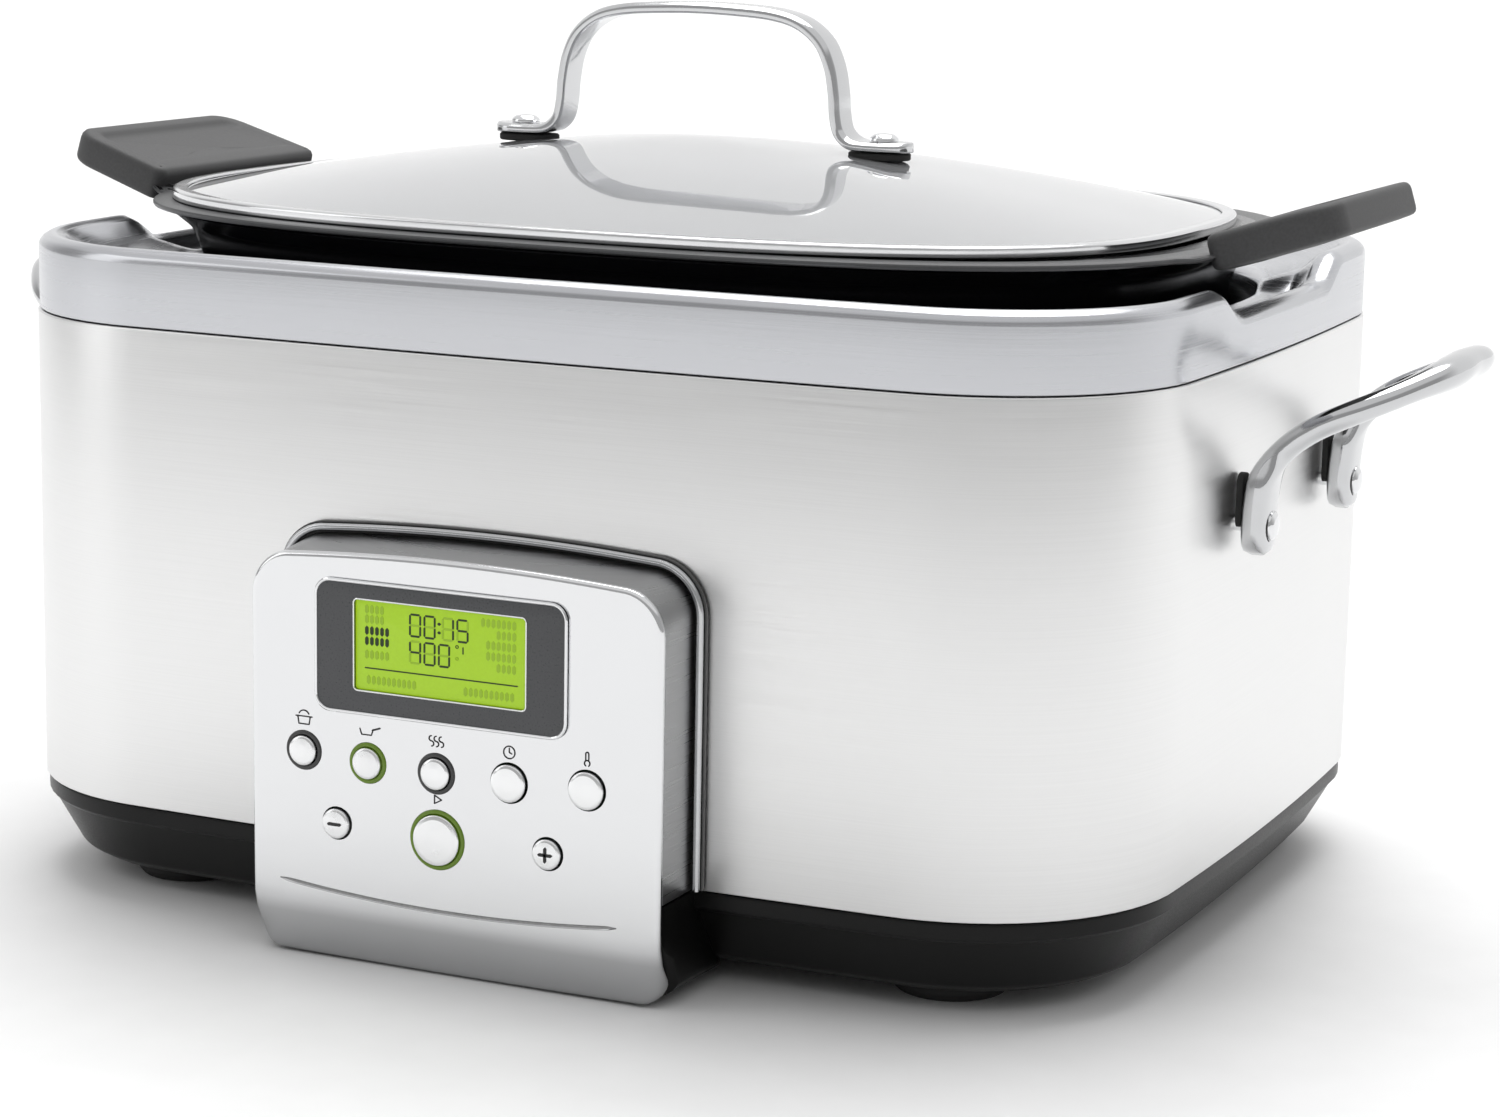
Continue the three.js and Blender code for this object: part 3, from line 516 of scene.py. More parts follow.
def sweep(path, normal, section):
    """A bar along a path. section(t) gives the outline at t, from 0 to 1 along the path,
    as (across, along the normal) pairs; the first normal is carried along the path."""
    tangents = unit_rows(np.gradient(path, axis=0))
    normal = np.asarray(normal, float)
    loops = []
    for k, (point, tangent) in enumerate(zip(path, tangents)):
        normal = normal - tangent * (normal @ tangent)
        normal /= np.linalg.norm(normal)
        across = np.cross(normal, tangent)
        outline = section(k / (len(path) - 1))
        loops.append(point + outline[:, :1] * across + outline[:, 1:] * normal)
    return loft(loops)


def sweep_from_ends(path, normal, section):
    """A sweep whose section depends on the distance to the path's nearer end."""
    total = travelled(path)[-1]
    return sweep(path, normal, lambda t: section(min(t, 1 - t) * total))


def round_tip(distance, reach):
    """A bar's share of its full width at this distance from its rounded end."""
    return math.sqrt(max(0.0, 1 - (1 - min(1.0, distance / reach)) ** 2))


def superellipse(half_across, half_normal, power, count):
    c, s = unit_circle(count).T
    return np.column_stack([np.sign(c) * np.abs(c) ** (2 / power) * half_across,
                            np.sign(s) * np.abs(s) ** (2 / power) * half_normal])


def prism_y(outline, front, back, edge=0.0):
    """An outline of (x, z) pairs, counter-clockwise seen from the front, extruded from
    front to back along Y, with its front edge rounded by `edge`."""
    outline = np.asarray(outline, float)
    return loft([upright(outline, back)] + [upright(inset_outline(outline, inset), front + depth)
                                            for inset, depth in edge_steps(edge, 3)])


def inset_outline(outline, distance):
    """A counter-clockwise outline moved inwards along its normals."""
    if not distance:
        return outline
    tangent = unit_rows(np.roll(outline, -1, 0) - np.roll(outline, 1, 0))
    return outline + distance * np.column_stack([-tangent[:, 1], tangent[:, 0]])


def rounded_rect(half_x, half_z, radius, centre=(0, 0)):
    corners = [(-half_x, -half_z), (half_x, -half_z), (half_x, half_z), (-half_x, half_z)]
    return fillet(corners, [radius] * 4, steps=6) + np.asarray(centre)


def box_outline(node, grow, radius):
    """A rounded rectangle round a node's box, as (x, z) pairs."""
    middle, half = middle_and_half(node)
    return rounded_rect(half[0] + grow, half[2] + grow, radius, middle[::2])


def circle_outline(centre, radius):
    return np.asarray(centre) + radius * unit_circle(48)


# --- body: base and feet
def panel_roll(inset, steps=16):
    """How the panel's lower edge leans back under itself: (y, z) pairs, going down."""
    corners = [(FACE_Y, 30.0), (FACE_Y, 17.5), (FACE_Y + 3.4, 0.2)]
    profile = fillet(corners, [0, 40, 0], closed=False, steps=steps - 2)
    tangent = unit_rows(np.gradient(profile, axis=0))
    return profile + inset * np.column_stack([-tangent[:, 1], tangent[:, 0]])


def make_base():
    top, floor = BASE_TOP, max(box_mm("base_tray")[0][2], 6.0)
    profile = fillet(
        [(90, floor), (17, floor), (11.4, floor + 3), (2.4, 25.2), (1.7, 25.7), (0.9, 26.4),
         (1.0, top), (5, top), (5, 26), (13, 12), (17, floor + 3), (90, floor + 3)],
        [0, 5, 4, 1.2, 0.15, 0.5, 1.0, 0, 0, 0, 0, 0])
    mesh_piece("base", loft(body_stack(profile), ring=True), "base", ["base_tray"])


def make_base_block():
    """The block that carries the panel's lower end, with its two lower ends rounded off."""
    back, low = SHELL_LO[1] + 20, 0.8
    half, edge, least_edge, flare = FACE_HALF - 0.8, 8.0, 1.0, 2.4
    rolled = panel_roll(3.2)
    rolled = rolled[(rolled[:, 1] < BASE_TOP - 1) & (rolled[:, 1] > 2)]
    side = np.vstack([[(FACE_Y + 3.2, BASE_TOP)], rolled,
                      [(FACE_Y + 9, low), (back, low), (back, BASE_TOP)]])
    low_down = 1 - smoothstep(side[:, 1], 9, 22)
    loops = []
    for angle in np.radians([*np.linspace(-90, 0, 9), *np.linspace(0, 90, 9)]):
        x = math.copysign(half - edge, angle) + edge * math.sin(angle)
        shrunk = inset_outline(side, least_edge + (edge - least_edge) * (1 - math.cos(angle)))
        flared = x + math.copysign(flare, x) * low_down * abs(math.sin(angle))
        loops.append(np.column_stack([flared, side + (shrunk - side) * low_down[:, None]]))
    mesh_piece("base_block", loft(loops), "base")


def make_bottom_cover():
    low, high = box_mm("bottom_cover")
    half = (high - low) / 2
    outline = rounded_rect(half[0], half[1], 12) + CENTRE
    heights = ((0.8, low[2]), (0.0, low[2] + 0.8), (0.0, high[2]))
    loops = [flat(inset_outline(outline, inset), height) for inset, height in heights]
    mesh_piece("cover", loft(loops), "base", ["bottom_cover"])


def make_foot(end, side):
    node = f"foot_{end}_{side}"
    low, high = box_mm(node)
    radius, top = (high[0] - low[0]) / 2, high[2]
    pad = turned([(0, 0), (radius - 2, 0), (radius, 2.4), (radius, top), (0, top)],
                 [0, 1.5, 2, 0.3, 0], Matrix.Translation((*((low + high) / 2)[:2], 0)))
    mesh_piece(f"pad_{end}_{side}", pad, "rubber", [node])


# --- body: shell and collar
def make_shell():
    low, high = SHELL_LO[2], SHELL_HI[2]
    profile = fillet([(0, low), (0, high), (1.5, high), (1.5, low)], [0.4, 0.6, 0.3, 0.3], steps=3)
    mesh_piece("shell", loft(body_stack(profile), ring=True), "shell", ["outer_shell"])


def notch_drop(loop):
    """The collar's drop at each point: a notch with sloping sides at each end."""
    slope = (NOTCH_TOP_HALF - np.abs(loop[:, 1])) / (NOTCH_TOP_HALF - NOTCH_FLOOR_HALF)
    at_end = np.abs(loop[:, 0]) > BODY_HALF[0] - BODY_CORNER
    return np.where(at_end, NOTCH_DEPTH * smoothstep(slope), 0)


def make_collar():
    low, crest = COLLAR_LO[2], COLLAR_HI[2]
    reach, lip_at, lip_z = 11.0, 20.0, 200.5
    well = OVAL_HALF - 5.5
    fade_from, lost_at_lip = 190, 0.65  # the notch starts above this height; it is shallower inside
    profile = fillet(
        [(0.5, low), (0.5, crest - 2), (5, crest + 0.3), (9.2, crest - 1.2), (13, crest - 6.5),
         (lip_at, lip_z), (lip_at, low), (lip_at - 1.5, low), (lip_at - 1.5, lip_z - 1.6),
         (12, crest - 9), (8, crest - 3), (5, crest - 1.6), (2, crest - 5), (2, low)],
        [0.8, 4.2, 3.5, 3.5, 4, 3, 0.4, 0, 1, 2, 1, 1, 1, 0], steps=6)
    loops = []
    for inset, height in profile:
        loop = body_loop(min(inset, reach))
        if inset > reach:
            share = (inset - reach) / (lip_at - reach)
            loop = loop + share * (oval_loop(well, body_loop(reach)) - loop)
        depth = smoothstep(height, fade_from, crest - 5)
        depth *= 1 - lost_at_lip * smoothstep(inset, reach, lip_at)
        loops.append(lift(loop, height - notch_drop(body_loop(0)) * depth))
    mesh_piece("collar", loft(loops, ring=True), "collar", ["top_collar"])


def make_chamber():
    """The heating chamber's liner."""
    low, high = box_mm("inner_liner")
    profile = fillet(
        [(30, low[2]), (7, low[2]), (5, high[2] - 1.5), (1, high[2] - 1.5), (1, high[2]),
         (6.4, high[2]), (8.4, low[2] + 1.5), (30, low[2] + 1.5)],
        [0, 12, 1, 0.3, 0.3, 2, 12, 0])
    mesh_piece("chamber", loft(oval_stack(profile), ring=True), "aluminium", ["inner_liner"])


def make_hot_plate():
    """The plate at the chamber's bottom, with a round hole for the pot sensor."""
    low, high = box_mm("heating_plate")
    half, top = (high - low)[:2] / 2, high[2]
    hole = unit_circle(OVAL_POINTS) * 11.0
    edge = ((0, low[2]), (0, top - 1.2), (0.4, top - 0.4), (1.2, top))
    loops = [lift(oval_loop(half - inset), height) for inset, height in edge]
    for share in (0.66, 0.33, 0.0):
        loops.append(lift(oval_loop(half - 1.2) * share + hole * (1 - share), top))
    loops.append(lift(hole, low[2]))
    mesh_piece("hot_plate", loft(loops, ring=True), "aluminium", ["heating_plate"])


def make_sensor_head():
    low, high = box_mm("sensor_plunger")
    radius = (high[0] - low[0]) / 2
    under = box_mm("sensor_spring")[1][2] + 2.3  # room for the sensor's full travel
    head = turned([(0, low[2]), (4, low[2]), (4, under), (radius, under), (radius, high[2]),
                   (0, high[2])], [0, 0.5, 0.5, 0.5, 1.5, 0], Matrix.Translation((0, CENTRE_Y, 0)))
    mesh_piece("sensor_head", head, "aluminium", ["sensor_plunger"], "sensor")


# --- body: control panel
FACE_CORNER = 14
FACE_CROWN = 2.1
FACE_SAG = 0.5
FACE_BOTTOM = 0.9
FOOT_CORNER = 8
WRAP = 8  # how far in from each side the foot starts to curve back
FOOT_COUNT = 9 + 23 + 9  # points along the outline's foot


def panel_outline(grow, bottom=None, rise=0.0):
    """The panel's outline as (x, z) pairs, counter-clockwise from the front: bowed top
    and rounded corners, grown by `grow`. With a bottom height its foot is square and
    straight; rise lifts only the top."""
    half, top = FACE_HALF + grow, FACE_TOP - FACE_CROWN + grow + rise
    corner = FACE_CORNER + grow
    if bottom is None:
        foot, low, sag = FOOT_CORNER + grow, FACE_BOTTOM, FACE_SAG
    else:
        foot, low, sag = 0.5, bottom, 0
    turn = np.linspace(0, math.pi / 2, 9)
    right = [(half - foot + foot * math.sin(a), foot * (1 - math.cos(a))) for a in turn]
    middle = [(x, 0) for x in np.linspace(foot - half, half - foot, 25)[1:-1]]
    left = [(-x, z) for x, z in reversed(right)]
    points = [(x, low + z - sag * (1 - (x / half) ** 2)) for x, z in left + middle + right]
    sides = [low + foot + (top - corner - low - foot) * k / 20 for k in range(1, 20)]
    points += [(half, height) for height in sides]
    turn = np.linspace(0, math.pi / 2, 13)
    inner, shoulder = half - corner, top - corner
    points += [(inner + corner * math.cos(a), shoulder + corner * math.sin(a)) for a in turn]
    for t in np.linspace(0, 1, 26)[1:-1]:
        points.append((inner * (1 - 2 * t), top + FACE_CROWN * 4 * t * (1 - t)))
    points += [(-inner - corner * math.sin(a), shoulder + corner * math.cos(a)) for a in turn]
    points += [(-half, height) for height in reversed(sides)]
    return np.array(points)


def roll_back(part):
    """Bends the lower part of the face back along the roll."""
    points, faces = part
    curve = panel_roll(0, 40)[::-1]
    heights, depth = curve[:, 1], curve[:, 0] - FACE_Y
    x, height = points[:, 0], points[:, 2]
    shift = np.where(height < heights[-1], np.interp(height, heights, depth), 0)
    reach = np.clip((np.abs(x) - FACE_HALF + WRAP) / (WRAP + 1.5), 0, 1)
    wrap = WRAP * (1 - np.sqrt(1 - reach ** 2)) * (1 - smoothstep(height, 6, 17))
    return np.column_stack([x, points[:, 1] + shift + wrap, height]), faces


def buttons():
    """Every push button's centre, radius and ring radius (or 0), from the frame."""
    found = {}
    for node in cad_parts:
        if node.endswith("_button"):
            middle, half = middle_and_half(node)
            ring = node.replace("button", "light_ring")
            reach = middle_and_half(ring)[1][0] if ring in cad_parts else 0.0
            radius = half[0] - (0 if reach else 1.6)
            found[node.removesuffix("_button")] = (middle[::2], radius, reach)
    return found


BUTTONS = buttons()


def fascia_sheet():
    """The fascia as a closed sheet, with enough rows to follow the roll."""
    edge, thickness = 1.7, 2.8
    outline = panel_outline(0)
    rim, back = inset_outline(outline, edge), inset_outline(outline, 1.0)
    middle = np.array([0.0, (FACE_TOP + FACE_BOTTOM) / 2])

    def shrunk(loop, share, depth):
        return upright(middle + (loop - middle) * share, FACE_Y + depth)

    loops = [shrunk(back, share, thickness) for share in (*np.linspace(0.04, 0.9, 20), 0.97, 1)]
    loops += [upright(inset_outline(outline, inset), FACE_Y + depth)
              for inset, depth in edge_steps(edge, 8)]
    loops += [shrunk(rim, share, 0) for share in (0.98, 0.94, *np.linspace(0.89, 0.04, 26))]
    return roll_back(loft(loops))


def crease(section, shift=(0, 0, 0)):
    """A bar along the shallow crease that crosses the fascia above its roll."""
    half, ends_z, sag = 58, 24.6, 3.4
    x = np.linspace(-half, half, 40)
    line = np.column_stack([x - 2, ends_z - sag * (1 - (x / half) ** 2)])
    return roll_back(sweep(upright(line, FACE_Y - 0.1) + shift, (0, -1, 0), section))


def crease_section(t):
    taper = min(1, 25 * t + 0.25, 25 * (1 - t) + 0.25)
    return superellipse(0.75 * taper, 0.5, 2, 12)


def make_fascia():
    depths = FACE_Y - 8, FACE_Y + 8
    cutters = [prism_y(box_outline("display_bezel", 0.5, 5.4), *depths)]
    for centre, radius, reach in BUTTONS.values():
        hole = circle_outline(centre, max(radius + 0.55, reach + 0.12))
        cutters.append(prism_y(hole, *depths))
    cutters.append(crease(crease_section))
    mesh_piece("fascia", fascia_sheet(), "fascia", ["panel_fascia"], sharp=28, cutters=cutters)


def make_crease_line():
    """A grey thread in the crease, for the shade that it holds."""
    thread = crease(lambda t: crease_section(t) * (0.45, 0.3), (0, 0.35, 0.1))
    mesh_piece("crease_line", thread, "crease")


def band(inner_grow, outer_grow, levels):
    """An arch-shaped band round the panel, open at the bottom. levels are (y, inset, share
    of the band's rise at its top)."""
    low, rise = SHELL_LO[2] + 0.2, 2.4
    loops = []
    for depth, inset, share in levels:
        arch, hollow = [np.vstack([loop[FOOT_COUNT - 1:], loop[:1]])
                        for loop in (panel_outline(outer_grow - inset, low, rise * share),
                                     panel_outline(inner_grow + inset, low, rise * share))]
        loops.append(upright(np.vstack([arch, hollow[::-1]]), depth))
    return loft(loops)


def make_housing():
    low, high = box_mm("panel_housing")
    front, back = low[1] - 0.2, high[1]
    levels = [(back - (back - front) * k / 6, 0, 1 - k / 6) for k in range(7)]
    mesh_piece("housing_sides", band(-2.8, -0.4, levels), "housing", ["panel_housing"])


def make_trim():
    """The ring where the housing meets the shell, a near-black band of painted shadow in the gap
    inside it, and the seal outside.
    """
    low, high = box_mm("panel_trim_ring")
    front, back = low[1], high[1]
    levels = [(back, 0, 1), *[(front + depth, inset, 1) for inset, depth in edge_steps(1.0, 5)]]
    mesh_piece("trim_ring", band(0.5, 2.7, levels), "trim", ["panel_trim_ring"])
    # A near-black band of painted shadow fills the gap inside the ring.
    levels = [(back, 0, 1), (back - 0.9, 0, 1)]
    mesh_piece("trim_shadow_gap", band(-0.4, 0.5, levels), "dark")
    levels = [(back, 0, 1), (back - 1.2, 0, 1), (back - 1.5, 0.3, 1)]
    mesh_piece("trim_seal", band(2.7, 3.3, levels), "ring_off")


def make_bezel():
    """The bezel, a thin chrome lip round its edge and a bright line round its window."""
    low, high = box_mm("display_bezel")
    front, back = low[1], high[1]
    outline = box_outline("display_bezel", 0, 5)
    window = box_outline("display_screen", 0.2, 1.4)
    mesh_piece("bezel", prism_y(outline, front + 0.5, back, 0.7), "bezel", ["display_bezel"],
               cutters=[prism_y(window, front - 6, back + 6)])
    for name, loop, depth, radius in (("bezel_lip", outline, 0.55, 0.55),
                                      ("window_line", window, 0.45, 0.28)):
        bead = closed_bead(upright(loop, front + depth), radius)
        mesh_piece(name, bead, "chrome")


def make_screen():
    low, high = box_mm("display_screen")
    glass = prism_y(box_outline("display_screen", 0, 1.2), low[1], high[1], 0.3)
    mesh_piece("screen", glass, "screen", ["display_screen"])
    draw_screen(low, high)


def closed_bead(path, radius):
    """A thin round bead along a closed path in the XZ plane."""
    tangent = unit_rows(np.roll(path, -1, 0) - np.roll(path, 1, 0))
    c, s = unit_circle(10).T[:, :, None]
    loops = [point + radius * (c * across + s * (0, 1, 0))
             for point, across in zip(path, np.cross(tangent, (0, 1, 0)))]
    return loft(loops, ring=True)


SEGMENTS = {"a": (0, 2, 1, 2), "b": (1, 1, 1, 2), "c": (1, 0, 1, 1), "d": (0, 0, 1, 0),
            "e": (0, 0, 0, 1), "f": (0, 1, 0, 2), "g": (0, 1, 1, 1)}
DIGITS = {"0": "abcdef", "1": "bc", "4": "bcfg", "5": "acdfg"}


def stroke(start, end, width, front, depth=0.12, trim=0.0):
    """A thin flat bar between two (x, z) points on the panel."""
    start, end = np.asarray(start, float), np.asarray(end, float)
    along = (end - start) / np.linalg.norm(end - start)
    start, end = start + along * trim, end - along * trim
    side = np.array([-along[1], along[0]]) * width / 2
    tip = along * width / 2
    outline = [start - side, end - side, end + tip, end + side, start + side, start - tip]
    return prism_y(np.array(outline), front, front + depth)


def seven_segment(text, left, bottom, width, height, gap, front):
    """Lit and unlit segments of a row of digits, as two lists of bars."""
    dark, faint = [], []
    x = left
    for character in text:
        if character == ":":
            for share in (0.3, 0.7):
                z = bottom + height * share
                dark.append(stroke((x - gap * 0.1, z), (x + gap * 0.2, z), 0.9, front))
            x += gap * 0.9
            continue
        for name, (x0, z0, x1, z1) in SEGMENTS.items():
            start = (x + x0 * width, bottom + z0 * height / 2)
            end = (x + x1 * width, bottom + z1 * height / 2)
            shown = name in DIGITS[character]
            (dark if shown else faint).append(stroke(start, end, 0.62, front, trim=0.42))
        x += width + gap
    return dark, faint


def word(place, letters, front):
    """A row of plain blocks, where a display would have a word; negative runs leftwards."""
    pitch, block, height = 1.75, 1.2, 1.7
    x, z = place
    if letters < 0:
        x += letters * pitch
    return [stroke((x + k * pitch, z - height / 2), (x + k * pitch, z + height / 2), block, front)
            for k in range(abs(letters))]


def draw_screen(low, high):
    """Plain digits, a rule, and rows of plain blocks where a display would have words."""
    front = low[1] - 0.12
    width, height = high[0] - low[0], high[2] - low[2]
    dark, faint = [], []

    def spot(share_x, share_z):
        return (low[0] + width * share_x, low[2] + height * share_z)

    for text, bottom in (("00:15", 0.66), ("400", 0.365)):
        shown, hidden = seven_segment(text, *spot(0.325, bottom), 3.5, 6.6, 1.45, front)
        dark += shown
        faint += hidden
    dark.append(stroke(spot(0.06, 0.25), spot(0.95, 0.25), 0.4, front))
    dark += ring_of_strokes(spot(0.60, 0.60), 0.45, front)
    dark.append(stroke(spot(0.635, 0.53), spot(0.635, 0.60), 0.4, front))
    faint += ring_of_strokes(spot(0.60, 0.47), 0.45, front)
    for marks, x, words in (
            (faint, 0.07, ((0.90, 4), (0.79, 4), (0.40, 5))),
            (dark, 0.07, ((0.665, 5), (0.55, 5))),
            (faint, 0.96, ((0.90, -7), (0.78, -4), (0.66, -6), (0.54, -6), (0.42, -4))),
            (faint, 0.08, ((0.12, 10),)), (faint, 0.95, ((0.12, -10),))):
        for z, letters in words:
            marks += word(spot(x, z), letters, front)
    mesh_piece("screen_marks_dark", merge(*dark), "screen_dark")
    mesh_piece("screen_marks_faint", merge(*faint), "screen_faint")


def ring_of_strokes(centre, radius, front):
    spots = np.asarray(centre) + radius * unit_circle(8)
    return [stroke(a, b, 0.25, front) for a, b in zip(spots, np.roll(spots, -1, 0))]


CAP_PROUD = 1.5  # how far a button's cap stands in front of the fascia


def make_button(name):
    centre, radius, reach = BUTTONS[name]
    node = f"{name}_button"
    back = FACE_Y - box_mm(node)[1][1]
    place = towards((0, -1, 0), (centre[0], FACE_Y, centre[1]))
    side, front, crown = radius - 0.05, CAP_PROUD, 0.35
    cap = turned([(0, back), (radius - 0.3, back), (side, -1), (side, front - 0.2),
                  (radius * 0.82, front + 0.1), (radius * 0.4, front + crown * 0.9),
                  (0, front + crown)], [0, 0.3, 0, 0.5, 0.6, 1, 0], place)
    mesh_piece(f"{name}_cap", cap, "button", [node], f"{name}_key")
    if reach:
        look = "ring_on" if name in ("saute", "start") else "ring_off"
        inner = radius + 0.22
        ring = turned([(inner, -3), (reach, -3), (reach, 0.55), (inner, 0.55)],
                      [0, 0, 0.5, 0.3], place, closed=True)
        mesh_piece(f"{name}_ring", ring, look, [f"{name}_light_ring"])


def make_button_mark(name):
    """The minus or plus sign on a button's cap."""
    (x, z), _, _ = BUTTONS[name]
    front = FACE_Y - CAP_PROUD - 0.56
    bars = [stroke((x - 2.0, z), (x + 2.0, z), 0.95, front, 0.5)]
    if name == "plus":
        bars.append(stroke((x, z - 2.0), (x, z + 2.0), 0.95, front, 0.5))
    mesh_piece(f"{name}_mark", merge(*bars), "ink", body=f"{name}_key")


def make_panel_marks():
    """Simple pictures over the buttons: pot, pan, steam, clock, thermometer, start."""
    marks = []

    def line(name, points, width=0.42, gap=3.6):
        centre, radius, reach = BUTTONS[name]
        spot = centre + (0, max(radius, reach) + gap)
        for a, b in zip(points, points[1:]):
            marks.append(stroke(spot + a, spot + b, width, FACE_Y - 0.1, 0.2))

    def arc(name, centre, radius, start, end, steps):
        angles = np.radians(np.linspace(start, end, steps + 1))
        line(name, centre + radius * np.column_stack([np.cos(angles), np.sin(angles)]))

    line("slow_cook", [(-2.2, 0.8), (-1.8, -1.6), (1.8, -1.6), (2.2, 0.8)])
    line("slow_cook", [(-2.9, 0.8), (2.9, 0.8)])
    arc("slow_cook", (0, 0.8), 1.9, 25, 155, 14)
    line("saute", [(-2.8, 0.6), (-2.2, -1.2), (1.2, -1.2), (1.8, 0.6)])
    line("saute", [(1.6, 0.4), (4.2, 1.3)], 0.6)
    for x in (-1.7, 0, 1.7):
        arc("steam", (x, -0.8), 0.8, -90, 90, 8)
        arc("steam", (x, 0.8), 0.8, 90, 270, 8)
    arc("time", (0, 0), 1.9, 0, 360, 24)
    line("time", [(0, 1.3), (0, 0), (0.9, -0.4)])
    arc("temp", (0, -1.2), 0.9, -60, 240, 16)
    for x in (-0.5, 0.5):
        line("temp", [(x, -0.5), (x, 1.7)])
    arc("temp", (0, 1.7), 0.5, 0, 180, 8)
    line("start", [(-1.0, -1.3), (1.4, 0), (-1.0, 1.3), (-1.0, -1.3)], gap=3.2)
    mesh_piece("panel_marks", merge(*marks), "ink")


# --- side handles
def facing(sign):
    """Turns a piece at the body's right end to the end at sign * X."""
    turn = Matrix.Rotation(0 if sign > 0 else math.pi, 4, "Z")
    return Matrix.Translation((0, CENTRE_Y, 0)) @ turn


HANDLE_FOOT_X = box_mm("side_handle_gasket_right_front")[1][0] + 0.3
HANDLE_RIVET = middle_and_half("side_handle_rivet_right_rear")[0] - (0, CENTRE_Y, 0)


def handle_path():
    """The middle line of the right handle, from one foot to the other."""
    foot, y = HANDLE_FOOT_X, HANDLE_RIVET[1]
    tip, high = box_mm("side_handle_right")[1][0] - 4.7, 185.4
    half = [(foot + 4.2, y, 129.6), (foot + 4.2, y, 137), (foot + 4.5, y, 146), (foot + 6, y, 154.5),
            (foot + 10.8, y, 162), (foot + 20, y, 169.4), (foot + 33, y - 1, 176),
            (tip - 9, y - 9, high - 4.8), (tip - 2, y - 22, high - 1.4), (tip, y - 34, high - 0.4)]
    return catmull([*half, (tip, 0, high), *[(x, -y, z) for x, y, z in reversed(half)]], 150)


def handle_section(distance):
    foot = 1 - smoothstep(distance, 22, 34)
    grip = smoothstep(distance, 74, 104)
    across = 9.2 * foot + (4.4 + 3.4 * grip) * (1 - foot)
    thick = 4.2 * foot + (3.8 + 1.4 * grip) * (1 - foot)
    return superellipse(across * max(0.12, round_tip(distance, 9.2)),
                        thick * max(0.5, round_tip(distance, 2.5)), 2.0 + 1.2 * foot, 36)


def make_handle_foot(sign, side, end, y):
    """A foot's seal, its rivet and a near-black ring of painted shade in the groove round the rivet's
    head.
    """
    seal_z = middle_and_half(f"side_handle_gasket_right_{end}")[0][2] + 2
    seal = prism_y(rounded_rect(4.0, 8.6, 3.6, (0, seal_z)), 0, 2.1, 0.5)
    place = (facing(sign) @ Matrix.Translation((HANDLE_FOOT_X - 0.1, y, 0))
             @ Matrix.Rotation(math.pi / 2, 4, "Z"))
    mesh_piece(f"seal_{side}_{end}", moved(seal, place), "rubber",
               [f"side_handle_gasket_{side}_{end}"])
    place = facing(sign) @ towards((1, 0, 0), (HANDLE_FOOT_X + 8.0, y, HANDLE_RIVET[2]))
    rivet = turned([(0, -24), (2.6, -24), (2.6, 0), (4.7, 0), (4.5, 1.0), (3, 2.0), (0, 2.5)],
                   [0, 0, 0, 0.4, 1, 2, 0], place, count=36)
    mesh_piece(f"rivet_{side}_{end}", rivet, "chrome", [f"side_handle_rivet_{side}_{end}"])
    # A near-black ring of painted shade stands where the groove round the rivet's head holds shadow.
    groove = turned([(4.6, -0.6), (5.5, -0.6), (5.5, 0.35), (4.6, 0.35)], [0, 0, 0.2, 0.2],
                    place, closed=True, count=36)
    mesh_piece(f"rivet_groove_shade_{side}_{end}", groove, "dark")


def make_side_handle(sign):
    """A cast loop: two feet, two arms and a thicker grip, on the end at sign * X."""
    side = "right" if sign > 0 else "left"
    bar = sweep_from_ends(handle_path(), (1, 0, 0), handle_section)
    mesh_piece(f"handle_{side}", moved(bar, facing(sign)), "cast", [f"side_handle_{side}"])
    for end, y_sign in (("front", -1), ("rear", 1)):
        make_handle_foot(sign, side, end, sign * y_sign * HANDLE_RIVET[1])


def make_cord_gland():
    """The gland's collar and stem, with four ribs round the stem."""
    middle = middle_and_half("cord_gland")[0]
    place = towards((0, 1, 0), (middle[0], SHELL_HI[1], middle[2]))
    rings = [([(3.6, -8), (6.6, -8), (6.6, 0.3), (10, 0.3), (10, 3), (7.2, 4.6), (5.8, 14),
               (3.6, 14)], [0, 0, 0, 0.5, 1, 1.5, 0.8, 0.8])]
    for k in range(4):
        low, radius = 6 + 2 * k, 7 - 0.3 * k
        rings.append(([(5.2, low), (radius, low + 0.2), (radius, low + 1), (5.2, low + 1.2)],
                      [0, 0.3, 0.3, 0]))
    parts = [turned(corners, radii, place, closed=True) for corners, radii in rings]
    mesh_piece("strain_relief", merge(*parts), "rubber", ["cord_gland"])


# --- pot
def lug_reach(loop):
    """How far the flange runs out into each handle, by the point's place along Y."""
    inside = 1 - smoothstep(np.abs(loop[:, 1]), 42, 60)
    return np.where(np.abs(loop[:, 0]) > FLANGE_HALF[0] * 0.7, inside, 0)


def flange_loop(inset, height, out):
    """A loop of the flange's edge, at a height from the pot's top; out carries it up and
    outwards at the handles."""
    loop = oval_loop(FLANGE_HALF - inset)
    reach = lug_reach(loop) * out
    rise = np.maximum(np.abs(loop[:, 0]) + reach - (FLANGE_HALF[0] - 1), 0) * math.tan(GRIP_TILT)
    spread = loop + np.column_stack([np.sign(loop[:, 0]) * reach, np.zeros(len(loop))])
    return lift(spread, POT_TOP + height + rise * (reach > 0.01))


